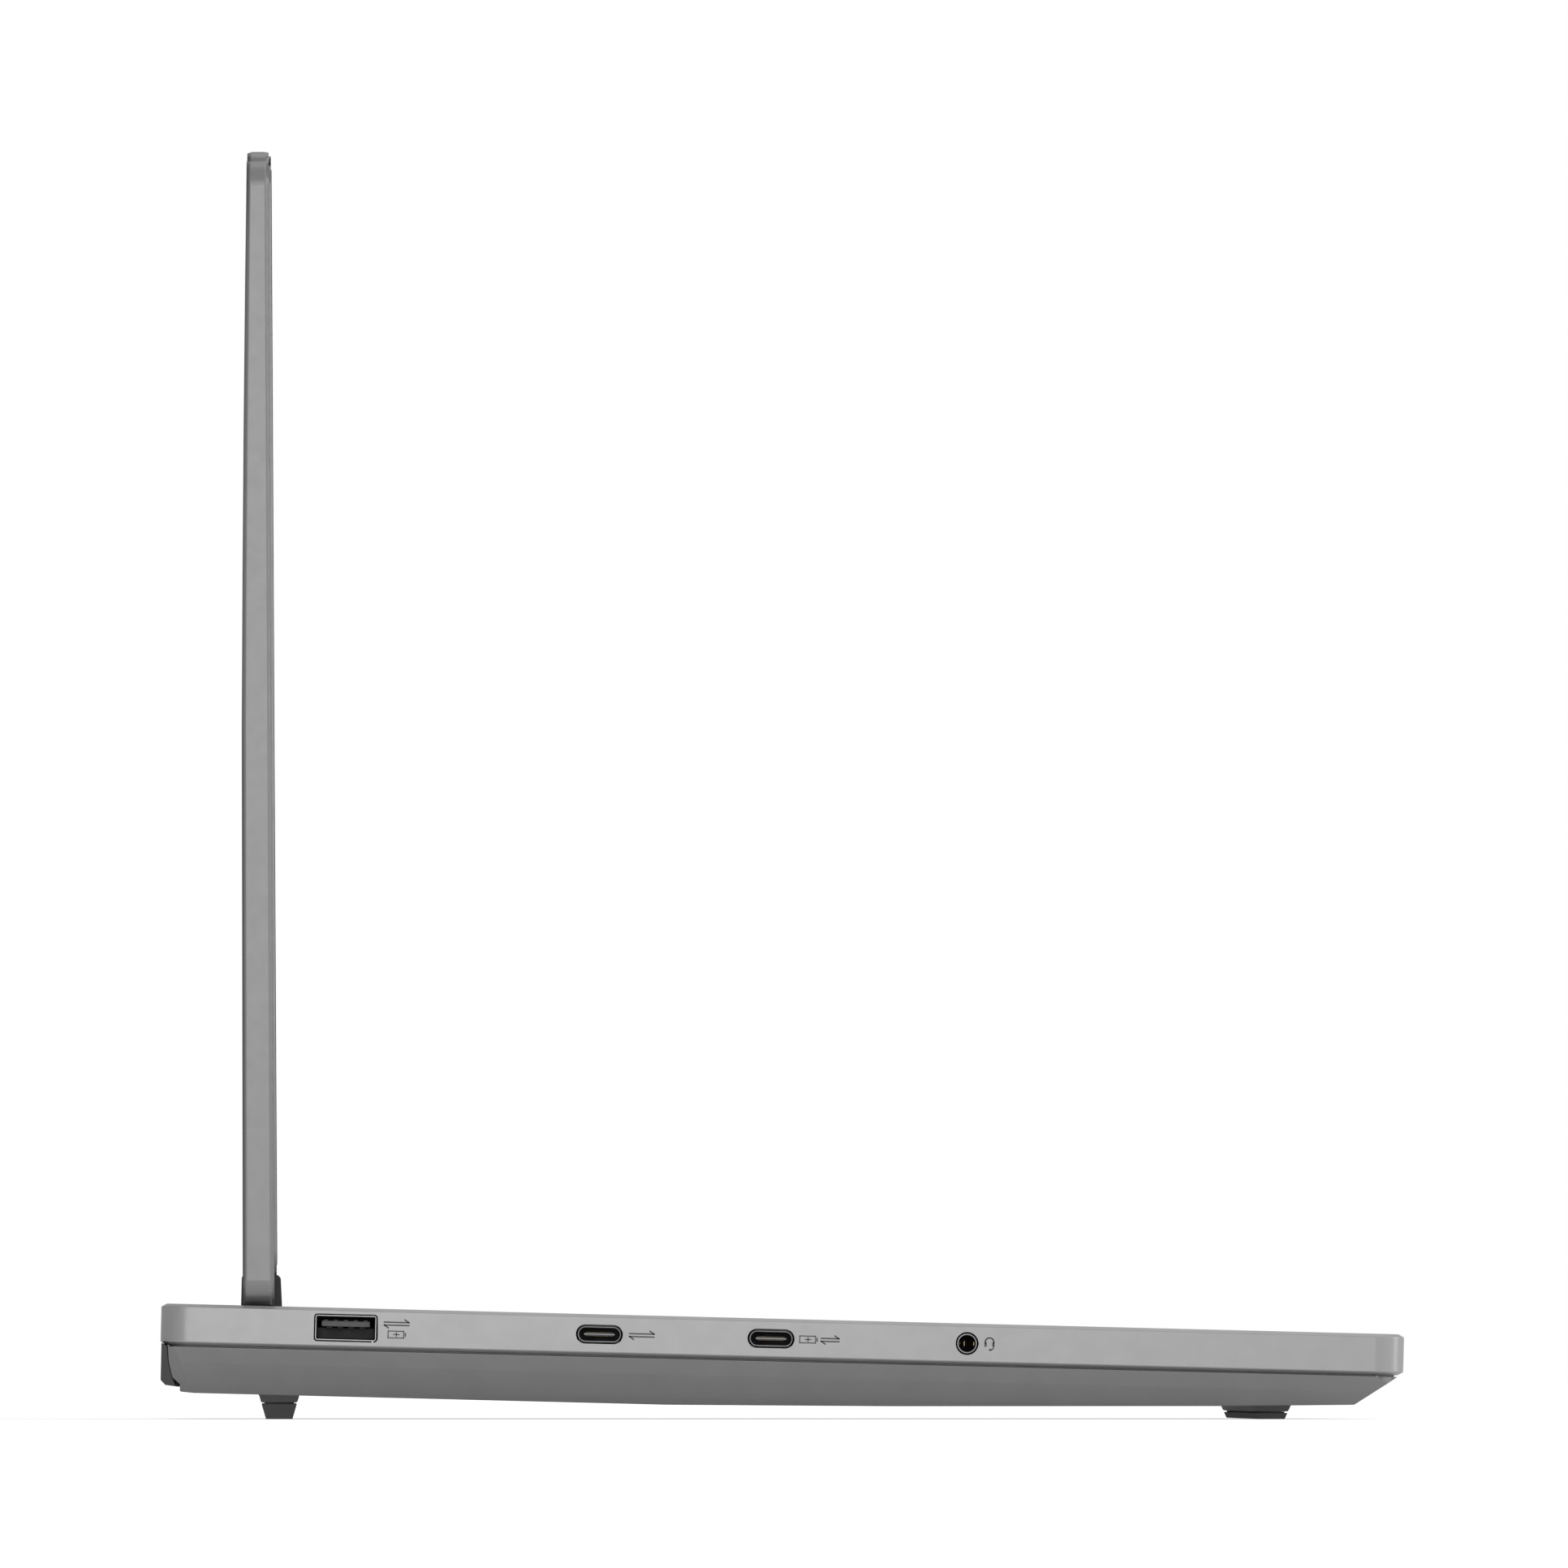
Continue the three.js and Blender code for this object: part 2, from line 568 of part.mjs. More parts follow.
function rearBezel() {
  const [front, rear] = [COVER_REAR_Y + GAP, BEZEL_REAR_Y];
  const top = -UPPER_HEIGHT - SEAM;
  const halfX = WIDTH / 2 - COVER_INSET;
  const profile = [
    [front, REAR_BEZEL_W - 0.3],
    [rear - 1, REAR_BEZEL_W],
    [rear, REAR_BEZEL_W + 1],
    [rear, top + 0.7],
    [rear - 1, top + 0.17],
    [front, top],
  ];
  // the bar as it would be without the cover's walls beside it
  const whole = trimRearCorners(
    alongX(profile, -180, 180)
      .intersect(plate(roundedShape(-halfX, halfX, -20, rear, REAR_CORNER_R), -30, 0, 5))
      .intersect(alongY(sideOutline(0, 1), 100, 140)),
  );
  const besideWalls = EAR_EDGE.map(([y, w]) => [y + GAP / 2, w]);
  const behindWalls = alongX([...besideWalls, [140, 0], [140, -17.7]], -180, 180);
  const betweenWalls = coverBody(COVER_WALL + GAP, -3);
  const lipNotch = block(LIP.splitX - 0.3, 175, 120, 126.05, LIP.bottom - GAP, 0);
  let body = whole.intersect(join(behindWalls, betweenWalls));
  body = cut(body, lipNotch, lipNotch.mirror([1, 0, 0])).add(seamLip().onBezel);
  const vents = [...steps(70, 16, 5.4), ...steps(-70, 16, -5.4)].map((x) =>
    block(x - 1.9, x + 1.9, front - 1, rear + 1, -15.2, -9.9),
  );
  const mouth = (x, s) =>
    block(x - s.width / 2 - GAP, x + s.width / 2 + GAP, front - 1, rear + 1,
      REAR_PORT_W - s.height / 2 - GAP, REAR_PORT_W + s.height / 2 + GAP);
  return cut(
    body,
    ...vents,
    mouth(REAR_PORTS.video, SOCKETS.video),
    mouth(REAR_PORTS.usbA, SOCKETS.usbA),
    mouth(REAR_PORTS.power, SOCKETS.power),
  );
}

function bottomScrew(x, y) {
  const seat = coverFloor(y) + 0.8;
  return join(rod(2.2, 0.7, "z", x, y, seat - 0.7, 16), rod(0.8, 4.5, "z", x, y, seat - 0.1, 10));
}

// ---------------------------------------------------------------- sockets
// A socket shell whose mouth faces +y, centred on the origin: a tube with a back wall and a tongue.
function socketShell(s, tongue) {
  const wall = 0.35;
  const [hw, hh] = [s.width / 2, s.height / 2];
  const outer = alongY(roundedShape(-hw, hw, -hh, hh, s.r), -s.length, 0, 3);
  const r = Math.max(s.r - wall, 0.15);
  const hollow = alongY(roundedShape(-hw + wall, hw - wall, -hh + wall, hh - wall, r), -s.length + 1, 1, 3);
  const { width, z0, z1, length } = tongue;
  return join(cut(outer, hollow), block(-width / 2, width / 2, -s.length + 0.9, -s.length + length, z0, z1));
}
const USB_A_TONGUE = { width: 9.9, z0: 0.25, z1: 1.45, length: 11.5 };
const USB_C_TONGUE = { width: 5.9, z0: -0.35, z1: 0.35, length: 5.8 };
const VIDEO_TONGUE = { width: 11, z0: -0.1, z1: 0.75, length: 9.6 };
const POWER_TONGUE = { width: 7.6, z0: -0.6, z1: 0.6, length: 9 };

const turned = (solid, degrees) => solid.rotate([0, 0, degrees]);
const MOUTH_X = WIDTH / 2 - 0.55; // socket mouths sit just inside the wall's face
const leftSocket = (solid, y) => turned(solid, 90).translate([-MOUTH_X, y, PORT_W]);
const rightSocket = (solid, y) => turned(solid, -90).translate([MOUTH_X, y, PORT_W]);
const rearSocket = (solid, x) => solid.translate([x, DEPTH / 2 - 0.7, REAR_PORT_W]);

function audioJack() {
  const tube = rod(AUDIO_R, 12, "y", 0, -12, 0, 24);
  const housing = block(-3, 3, -13.5, -3.4, -2.6, 2.6);
  return cut(join(tube, housing), rod(1.8, 13, "y", 0, -12, 0, 24));
}

// ---------------------------------------------------------------- moving pieces of the base
function touchpad() {
  const { x0, x1, y0, y1 } = TOUCHPAD;
  return join(slab(x0, x1, y0, y1, -1.4, -0.25, 1.8), block(x0 + 8, x1 - 8, y0 + 8, y1 - 8, -2.4, -1.3));
}

const powerButton = () => join(slab(-8, 8, 90.7, 97.3, -2.2, -0.1, 3.2), block(-2, 2, 93, 95, -3.2, -2.1));

function shutterSwitch() {
  const { width, height } = SHUTTER;
  const [x1, y] = [WIDTH / 2 - 0.2, RIGHT_PORTS.shutter];
  const [hw, hh] = [width / 2, height / 2];
  return join(
    block(x1 - 2.6, x1, y - hw, y + hw, PORT_W - hh, PORT_W + hh),
    block(x1 - 4.6, x1 - 2.5, y - 4, y + 4, PORT_W - 1.6, PORT_W + 1.6),
  );
}

// ---------------------------------------------------------------- inside the base
const FAN = { x: 106, y: 68, halfX: 40, halfY: 34, top: -7.2, bottom: -15.4, r: 31, intake: 23 };

function fanHousing() {
  const { x, y, halfX, halfY, top, bottom, r, intake } = FAN;
  const body = slab(x - halfX, x + halfX, y - halfY, y + halfY, bottom, top, 6);
  const hollow = cut(
    body,
    rod(r + 1.5, top - bottom - 1.8, "z", x, y, bottom + 0.9, 40),
    block(x - 30, x + 36, y, y + halfY + 1, bottom + 0.9, top - 0.9),
    rod(intake, 3, "z", x, y, bottom - 1, 32),
  );
  return join(hollow, rod(1.3, 4.6, "z", x, y, top - 5.4, 12));
}

function fanRotor() {
  const { x, y, top, bottom, r } = FAN;
  const [z0, z1] = [bottom + 1.3, top - 1.4];
  const blades = 23;
  let rotor = rod(12, z1 - z0, "z", x, y, z0, 28);
  for (let i = 0; i < blades; i++) {
    const blade = block(10.5, r, -0.35, 0.35, z0 + 0.2, z1 - 0.2).translate([-11, 0, 0]).rotate([0, 0, 24]);
    rotor = rotor.add(blade.translate([11, 0, 0]).rotate([0, 0, (i * 360) / blades]).translate([x, y, 0]));
  }
  // trim the swept tips to a circle, and bore the hub for the spindle
  return cut(rotor.intersect(rod(r - 0.6, 12, "z", x, y, z0 - 1, 48)), rod(1.42, 4.6, "z", x, y, z1 - 4.5, 12));
}

const FINS = { x0: 68, x1: 148, y0: 104.8, y1: 121, top: -7.4, bottom: -15.6 };
const PIPE = { y: 113, w0: -12.8, w1: -10.6, half: 4 };

function finStack() {
  const { x0, x1, y0, y1, top, bottom } = FINS;
  const fins = steps(x0 + 0.25, 21, (x1 - x0 - 0.5) / 20).map((x) =>
    block(x - 0.25, x + 0.25, y0, y1, bottom + 0.1, top - 0.1),
  );
  const stack = join(block(x0, x1, y0, y1, bottom, bottom + 0.4), block(x0, x1, y0, y1, top - 0.4, top), ...fins);
  const channel = block(x0 - 1, x1 + 1, PIPE.y - PIPE.half - GAP, PIPE.y + PIPE.half + GAP,
    PIPE.w0 - GAP, PIPE.w1 + GAP);
  return cut(stack, channel);
}

// A flattened pipe from the cold plate at (x, y) to the far end of the right-hand fins.
function heatPipe(x, y) {
  const start = new THREE.Vector2(x, y);
  const bend = new THREE.Vector2(FINS.x0 - 6, PIPE.y);
  const reach = 32;
  const curve = new THREE.CubicBezierCurve(
    start,
    new THREE.Vector2(start.x + reach, start.y),
    new THREE.Vector2(bend.x - reach, bend.y),
    bend,
  );
  const samples = 14;
  const edge = (side) =>
    steps(0, samples + 1, 1 / samples).map((t) => {
      const [point, along] = [curve.getPoint(t), curve.getTangent(t)];
      return [point.x - side * along.y * PIPE.half, point.y + side * along.x * PIPE.half];
    });
  const end = FINS.x1 - 2;
  const straight = [[end, PIPE.y - PIPE.half], [end, PIPE.y + PIPE.half]];
  return plate(polygon([...edge(-1), ...straight, ...edge(1).reverse()]), PIPE.w0, PIPE.w1);
}

function heatPipes() {
  const coldPlate = slab(-46, 46, 44, 80, PIPE.w1 - 0.02, PIPE.w1 + 1, 2);
  return join(coldPlate, heatPipe(0, 54), heatPipe(0, 68).mirror([1, 0, 0]));
}

const BOARD = { top: -7.6, bottom: -8.6 };

function mainboard() {
  const outline = polygon([
    [-160, -48], [-151, -48], [-151, -24], [-122, -24], [-122, -26], [122, -26], [122, -24], [151, -24],
    [151, -48], [160, -48], [160, 96], [151, 96], [151, 31], [62, 31], [62, 102], [50, 109], [-50, 109],
    [-62, 102], [-62, 31], [-151, 31], [-151, 96], [-160, 96],
  ]);
  const chip = (x, y, half) => block(x - half, x + half, y - half, y + half, -9.3, BOARD.bottom + 0.02);
  let board = join(plate(outline, BOARD.bottom, BOARD.top), chip(-20, 62, 12), chip(22, 62, 13));
  const memoryChips = [[-42, 30], [42, 30], [0, 30], [-54, 50], [54, 50]];
  for (const [x, y] of memoryChips) board = board.add(chip(x, y, 5.5));
  return cut(board, rod(3.2, 4, "z", 0, 86.2, -10, 16));
}

function batteryPack() {
  const [w0, w1] = [-12.6, -6.4];
  const cells = steps(-104, 4, 52).map((x) => slab(x + 0.6, x + 51.4, -106, -32, w0, w1, 2));
  return join(block(-103, 103, -104, -34, w0 + 0.8, w1 - 0.8), ...cells);
}

function speaker() {
  return join(slab(113, 158, -104, -54, -12.2, -5.2, 4), block(118, 153, -80, -56, -12.9, -12.1));
}

function moduleOnBoard(x0, x1, y0, y1, chips) {
  const top = BOARD.bottom - 1.4;
  const body = block(x0, x1, y0, y1, top - 0.9, top);
  return join(body, ...chips.map(([a, b]) => block(a, b, y0 + 3, y1 - 3, top - 1.9, top - 0.88)));
}

// ---------------------------------------------------------------- hinges
const SHAFT_R = 1.3;

// The cover over a hinge, standing on the floor of the deck's groove.
function hingeCover() {
  const foot = -CHANNEL.depth + GAP;
  const section = (inset, bottom) => [
    [HINGE_Y - 4.6 + inset, bottom],
    [HINGE_Y + 3.95 - inset, bottom],
    [HINGE_Y + 3.95 - inset, KNUCKLE_TOP - 0.6 - inset],
    [HINGE_Y + 3.4 - inset, KNUCKLE_TOP - inset],
    [HINGE_Y - 3.5 + inset, KNUCKLE_TOP - inset],
    [HINGE_Y - 4.1 + inset, KNUCKLE_TOP - 0.6 - inset],
  ];
  return cut(
    alongX(section(0, foot), KNUCKLE_X0, KNUCKLE_X1),
    alongX(section(0.6, foot - 1), KNUCKLE_X0 + 1.2, KNUCKLE_X1 - 1.2),
    rod(SHAFT_R + 0.35, 6, "x", KNUCKLE_X1 - 3, HINGE_Y, HINGE_W),
  );
}

function hingeBracket() {
  const body = join(
    block(106, 139, 89, 112.5, -4.1, -3.2),
    block(114, 130, HINGE_Y - 1.6, HINGE_Y + 1.6, -3.3, HINGE_W),
    rod(1.9, 16, "x", 114, HINGE_Y, HINGE_W, 24),
  );
  return cut(body, rod(SHAFT_R + 0.07, 20, "x", 112, HINGE_Y, HINGE_W, 24));
}

// The lid's half of the hinge: the shaft, and the arm that runs up inside the lid.
function hingeArm() {
  return join(rod(SHAFT_R, 39, "x", 112, 0, 0, 24), block(142.6, 151, 0.4, 1.4, -1.2, 46));
}

// ---------------------------------------------------------------- lid
const lidBack = (z) => {
  const share = Math.max(0, z - LID_TAPER_FROM) / (LID_TOP - LID_TAPER_FROM);
  return BEZEL_FRONT + LID_THICK - LID_TAPER * share ** 1.9;
};

// The lid's outline from the front, pulled in by inset, with the raised tab for the camera.
function lidOutline(inset, bottom = LID_BOTTOM) {
  const [x, top, r] = [LID_HALF_X - inset, LID_TOP - inset, Math.max(LID_R - inset, 0.5)];
  const bump = BUMP_HALF_X - inset;
  const shape = new THREE.Shape();
  shape.moveTo(-x + r, bottom);
  shape.lineTo(x - r, bottom);
  shape.absarc(x - r, bottom + r, r, -Math.PI / 2, 0);
  shape.lineTo(x, top - r);
  shape.absarc(x - r, top - r, r, 0, Math.PI / 2);
  shape.lineTo(bump, top);
  shape.lineTo(bump - 0.7, top + BUMP_HEIGHT - BUMP_SLOPE);
  shape.lineTo(bump - 4, top + BUMP_HEIGHT);
  shape.lineTo(-bump + 4, top + BUMP_HEIGHT);
  shape.lineTo(-bump + 0.7, top + BUMP_HEIGHT - BUMP_SLOPE);
  shape.lineTo(-bump, top);
  shape.lineTo(-x + r, top);
  shape.absarc(-x + r, top - r, r, Math.PI / 2, Math.PI);
  shape.lineTo(-x, bottom + r);
  shape.absarc(-x + r, bottom + r, r, Math.PI, Math.PI * 1.5);
  return shape;
}

// The lid's side section between the front plane and its curved back.
function lidSection(front, skin, z0, z1) {
  const stations = steps(0, 9, 1 / 8).map((s) => z0 + s * (z1 - z0));
  return alongX([[front, z0], ...stations.map((z) => [lidBack(z) - skin, z]), [front, z1]], -180, 180);
}

// Room in the lid's lower edge for the hinge cover on the right (side 1) or the left (side -1).
function hingeNotch(side) {
  const notch = block(KNUCKLE_X0 - 1, KNUCKLE_X1 + 1, -5, 5, -6, 5.2);
  return side > 0 ? notch : notch.mirror([1, 0, 0]);
}

function lidBackCover() {
  // the lower edge is trimmed to a circle about the hinge, so that it can turn in the deck's groove
  const lowerEdge = cut(
    block(-180, 180, -5, 5, LID_BOTTOM - 1, -1),
    rod(4.95, 400, "x", -200, 0, 0, 48),
  );
  const cavity = lidSection(LID_FRONT - 2, LID_SKIN, 6.5, LID_TOP + 3).intersect(
    alongY(lidOutline(2.2, 6.5), -10, 10),
  );
  const seatBottom = BEZEL_BOTTOM - GAP;
  const bezelSeat = alongY(lidOutline(0.9, seatBottom), -10, BEZEL_FRONT + 1).intersect(
    block(-180, 180, -10, 10, seatBottom, LID_TOP + 10),
  );
  let body = lidSection(LID_FRONT, 0, LID_BOTTOM, LID_TOP + BUMP_HEIGHT).intersect(
    alongY(lidOutline(0), -10, 10, 5),
  );
  body = cut(body, lowerEdge, cavity, bezelSeat);
  for (const side of [1, -1]) {
    const pocket = block(KNUCKLE_X1, 152, -1.85, 1.85, -2.1, 8);
    body = body.subtract(hingeNotch(side)).subtract(side > 0 ? pocket : pocket.mirror([1, 0, 0]));
  }
  return body;
}

function screenBezel() {
  const outline = lidOutline(1.2, BEZEL_BOTTOM);
  const hole = [
    [-SCREEN_HALF_X, SCREEN_Z0],
    [-SCREEN_HALF_X, SCREEN_Z1],
    [SCREEN_HALF_X, SCREEN_Z1],
    [SCREEN_HALF_X, SCREEN_Z0],
  ];
  outline.holes.push(new THREE.Path(hole.map(([x, z]) => new THREE.Vector2(x, z))));
  const lens = rod(1.7, 3, "y", 0, BEZEL_FRONT - 1, CAMERA_Z);
  return cut(alongY(outline, BEZEL_FRONT, BEZEL_FRONT + 0.7), lens, hingeNotch(1), hingeNotch(-1));
}

const displayPanel = () => block(-166.5, 166.5, BEZEL_FRONT + 1, BEZEL_FRONT + 3.2, SCREEN_Z0 - 5, SCREEN_Z1 + 1.2);

function webcamModule() {
  return join(
    block(-22, 22, BEZEL_FRONT + 1.1, BEZEL_FRONT + 2.2, CAMERA_Z - 3, CAMERA_Z + 3),
    rod(1.35, 1.4, "y", 0, BEZEL_FRONT + 0.2, CAMERA_Z, 20),
  );
}

const antenna = () => block(70, 112, BEZEL_FRONT + 1.1, BEZEL_FRONT + 1.7, SCREEN_Z1 + 2.2, SCREEN_Z1 + 6.8);

// ---------------------------------------------------------------- assembly
place(base, "upper_case", "shell", upperCase());
place(base, "bottom_cover", "shade", bottomCover());
place(base, "rear_bezel", "dark", rearBezel());
SCREWS.forEach(([x, y], i) => place(base, `bottom_screw_${i + 1}`, "steel", bottomScrew(x, y)));

place(base, "keyboard_frame", "shell", keyboardFrame());
place(base, "keyboard_backplate", "steel", plate(keyboardOutline(1.4), -5.9, -5.4));
for (const { name, cells } of KEY_GROUPS) place(base, name, "key", keyGroup(cells));
place(base, "touchpad", "shell", touchpad());
place(base, "power_button", "shell", powerButton());
place(base, "shutter_switch", "black", shutterSwitch());

const usbA = socketShell(SOCKETS.usbA, USB_A_TONGUE);
const usbC = socketShell(SOCKETS.usbC, USB_C_TONGUE);
place(base, "usb_a_socket_left", "steel", leftSocket(usbA, LEFT_PORTS.usbA));
place(base, "usb_a_socket_right", "steel", rightSocket(usbA, RIGHT_PORTS.usbA));
place(base, "usb_c_socket_rear", "steel", leftSocket(usbC, LEFT_PORTS.usbC1));
place(base, "usb_c_socket_front", "steel", leftSocket(usbC, LEFT_PORTS.usbC2));
place(base, "audio_jack", "black", leftSocket(audioJack(), LEFT_PORTS.audio));
place(base, "video_socket", "steel", rearSocket(socketShell(SOCKETS.video, VIDEO_TONGUE), REAR_PORTS.video));
place(base, "usb_a_socket_rear", "steel", rearSocket(usbA, REAR_PORTS.usbA));
place(base, "power_inlet", "black", rearSocket(socketShell(SOCKETS.power, POWER_TONGUE), REAR_PORTS.power));

place(base, "mainboard", "board", mainboard());
place(base, "heat_pipes", "copper", heatPipes());
placePair(base, "fin_stack", "copper", finStack());
placePair(base, "fan_housing", "dark", fanHousing());
placePair(base, "fan_rotor", "black", fanRotor());
place(base, "battery_pack", "cell", batteryPack());
placePair(base, "speaker", "black", speaker());
place(base, "ssd_module", "board", moduleOnBoard(-104, -24, -22, 0, [[-98, -80], [-74, -56], [-48, -36]]));
place(base, "memory_module", "board", moduleOnBoard(20, 88, -22, 8, [[26, 38], [44, 56], [62, 74]]));
place(base, "wireless_card", "board", moduleOnBoard(100, 130, -20, 2, [[106, 124]]));

placePair(base, "hinge_cover", "dark", hingeCover());
placePair(base, "hinge_bracket", "steel", hingeBracket());

place(laptop, "rear_foot", "rubber", rubberFoot(FEET.rear));
place(laptop, "front_foot", "rubber", rubberFoot(FEET.front));

place(lid, "lid_back_cover", "shell", lidBackCover());
place(lid, "screen_bezel", "black", screenBezel());
place(lid, "display_panel", "black", displayPanel());
place(lid, "webcam_module", "black", webcamModule());
placePair(lid, "antenna", "copper", antenna());
placePair(lid, "hinge_arm", "steel", hingeArm());

export default laptop;
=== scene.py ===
"""Looks for an open laptop computer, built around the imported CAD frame.

Shapes are written in millimetres in one of two local frames: the deck's, where z = 0 is the top of
the deck, and the lid's, about the hinge axis. Objects and everything read from the frame are in metres.
"""

import json
import math

import bmesh
import bpy
from mathutils import Matrix, Vector


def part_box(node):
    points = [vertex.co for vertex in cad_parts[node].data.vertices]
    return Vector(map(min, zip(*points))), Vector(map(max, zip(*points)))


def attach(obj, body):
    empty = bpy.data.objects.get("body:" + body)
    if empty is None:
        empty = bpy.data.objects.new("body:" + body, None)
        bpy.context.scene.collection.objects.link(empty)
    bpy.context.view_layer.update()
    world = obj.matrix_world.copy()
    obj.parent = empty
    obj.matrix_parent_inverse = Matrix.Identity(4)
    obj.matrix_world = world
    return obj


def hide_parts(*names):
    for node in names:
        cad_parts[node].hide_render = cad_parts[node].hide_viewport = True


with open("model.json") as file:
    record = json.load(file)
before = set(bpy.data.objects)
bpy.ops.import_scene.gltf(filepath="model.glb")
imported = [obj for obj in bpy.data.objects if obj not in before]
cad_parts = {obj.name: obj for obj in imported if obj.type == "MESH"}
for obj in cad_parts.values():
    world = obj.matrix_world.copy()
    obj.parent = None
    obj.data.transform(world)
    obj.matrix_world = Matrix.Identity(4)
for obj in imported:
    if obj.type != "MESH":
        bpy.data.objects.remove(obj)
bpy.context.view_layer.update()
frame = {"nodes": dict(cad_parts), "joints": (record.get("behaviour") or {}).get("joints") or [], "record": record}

MM = 0.001
JOINTS = {joint["name"]: joint for joint in frame["joints"]}
HINGE = Vector(JOINTS["lid_hinge"]["pos_m"])
DECK_UP = -Vector(JOINTS["power_press"]["axis"])
DECK_TILT = math.atan2(-DECK_UP.y, DECK_UP.z)
HINGE_IN_DECK = (0, 107.25, 3.75)
LID_LEAN = math.radians(-0.31)
DECK = (
    Matrix.Translation(HINGE)
    @ Matrix.Rotation(DECK_TILT, 4, "X")
    @ Matrix.Translation(-Vector(HINGE_IN_DECK) * MM)
)
LID = Matrix.Translation(HINGE) @ Matrix.Rotation(LID_LEAN, 4, "X")

CAP_TOP = -0.35
PORT_Z = -4.1
REAR_PORT_Z = -12.6
WALL_X = 172.25
BEZEL_FRONT = -3.33

# How bright the surroundings are as light on the object, and how the sky's light changes along the
# direction it comes from, then the glow of the floor where it is seen.
SKY_LIGHT = 0.52
SKY_SLOPE = (0, -0.3, 0.05)
FLOOR_LIGHT = 0.1
FLOOR_SEEN = 0.6
# Each lamp's place and size in metres, and its power in watts.
SOFT_BOXES = {
    "side_light": ((-1.0, 0.13, 0.25), (0.55, 0.5), 0.9),
    "front_light": ((-0.1, -2.2, 0.5), (0.5, 1.2), 4),
    "top_light": ((0.6, -0.3, 2.2), (1.6, 1.6), 2.5),
}
LAMPS_FACE = Vector((0, 0, 0.1))
# The table top: how far it reaches each way from the middle, and how far it lies below the feet.
FLOOR_REACH = 30
FLOOR_DROP = 1e-4
# The sensor is in millimetres, the rest in metres. The camera stands at its distance from the side
# wall, with its eye near the table's height, and sees the view's width at the wall.
SENSOR_WIDTH = 36
CAMERA_DISTANCE = 8.5
VIEW_WIDTH = 0.3214
CAMERA_CLIP = (1, 60)
EYE_Y, EYE_Z = 0.104, 0.008
TARGET_Y, TARGET_Z = -0.00025, 0.1302

# Softened copies: vertices this close are joined, in metres, faces this flat are merged, and edges
# with a greater angle than the last are rounded and shaded as sharp.
JOIN_DISTANCE = 2e-6
FLAT_ANGLE = math.radians(0.6)
SHARP_ANGLE = math.radians(24)


# ---------------------------------------------------------------- materials
def surface(name, colour, roughness, metallic=0.0, scale=(900, 900, 900), bump=0.05, depth=2e-5,
            tone=0.06, shine=0.06, coat=0.0):
    """A finish whose colour, roughness and relief vary with noise at the given scale per metre."""
    material = bpy.data.materials.new(name)
    material.use_nodes = True
    nodes, links = material.node_tree.nodes, material.node_tree.links
    shader = nodes["Principled BSDF"]
    shader.inputs["Metallic"].default_value = metallic
    shader.inputs["Coat Weight"].default_value = coat
    shader.inputs["Coat Roughness"].default_value = 0.15
    place = nodes.new("ShaderNodeTexCoord")
    stretch = nodes.new("ShaderNodeMapping")
    stretch.inputs["Scale"].default_value = scale
    links.new(place.outputs["Object"], stretch.inputs["Vector"])

    def noise(size, detail):
        made = nodes.new("ShaderNodeTexNoise")
        made.inputs["Scale"].default_value = size
        made.inputs["Detail"].default_value = detail
        links.new(stretch.outputs["Vector"], made.inputs["Vector"])
        return made.outputs["Fac"]

    def spread(source, low, high):
        made = nodes.new("ShaderNodeMapRange")
        made.inputs["From Min"].default_value = 0.3
        made.inputs["From Max"].default_value = 0.7
        made.inputs["To Min"].default_value = low
        made.inputs["To Max"].default_value = high
        links.new(source, made.inputs["Value"])
        return made.outputs["Result"]

    tint = nodes.new("ShaderNodeMix")
    tint.data_type = "RGBA"
    tint.inputs["A"].default_value = [c * (1 - tone) for c in colour] + [1]
    tint.inputs["B"].default_value = [min(c * (1 + tone), 1) for c in colour] + [1]
    links.new(spread(noise(0.12, 4), 0, 1), tint.inputs["Factor"])
    links.new(tint.outputs["Result"], shader.inputs["Base Color"])
    rough = spread(noise(0.3, 3), max(roughness - shine, 0.02), min(roughness + shine, 1))
    links.new(rough, shader.inputs["Roughness"])
    relief = nodes.new("ShaderNodeBump")
    relief.inputs["Strength"].default_value = bump
    relief.inputs["Distance"].default_value = depth
    links.new(noise(1.0, 2), relief.inputs["Height"])
    links.new(relief.outputs["Normal"], shader.inputs["Normal"])
    return material


def glow(name, colour, strength):
    """A small lamp behind diffusing plastic."""
    material = surface(name, colour, 0.4, scale=(600, 600, 600))
    shader = material.node_tree.nodes["Principled BSDF"]
    shader.inputs["Emission Color"].default_value = [*colour, 1]
    shader.inputs["Emission Strength"].default_value = strength
    return material


def grey(level):
    return (level, level, level * 1.015)


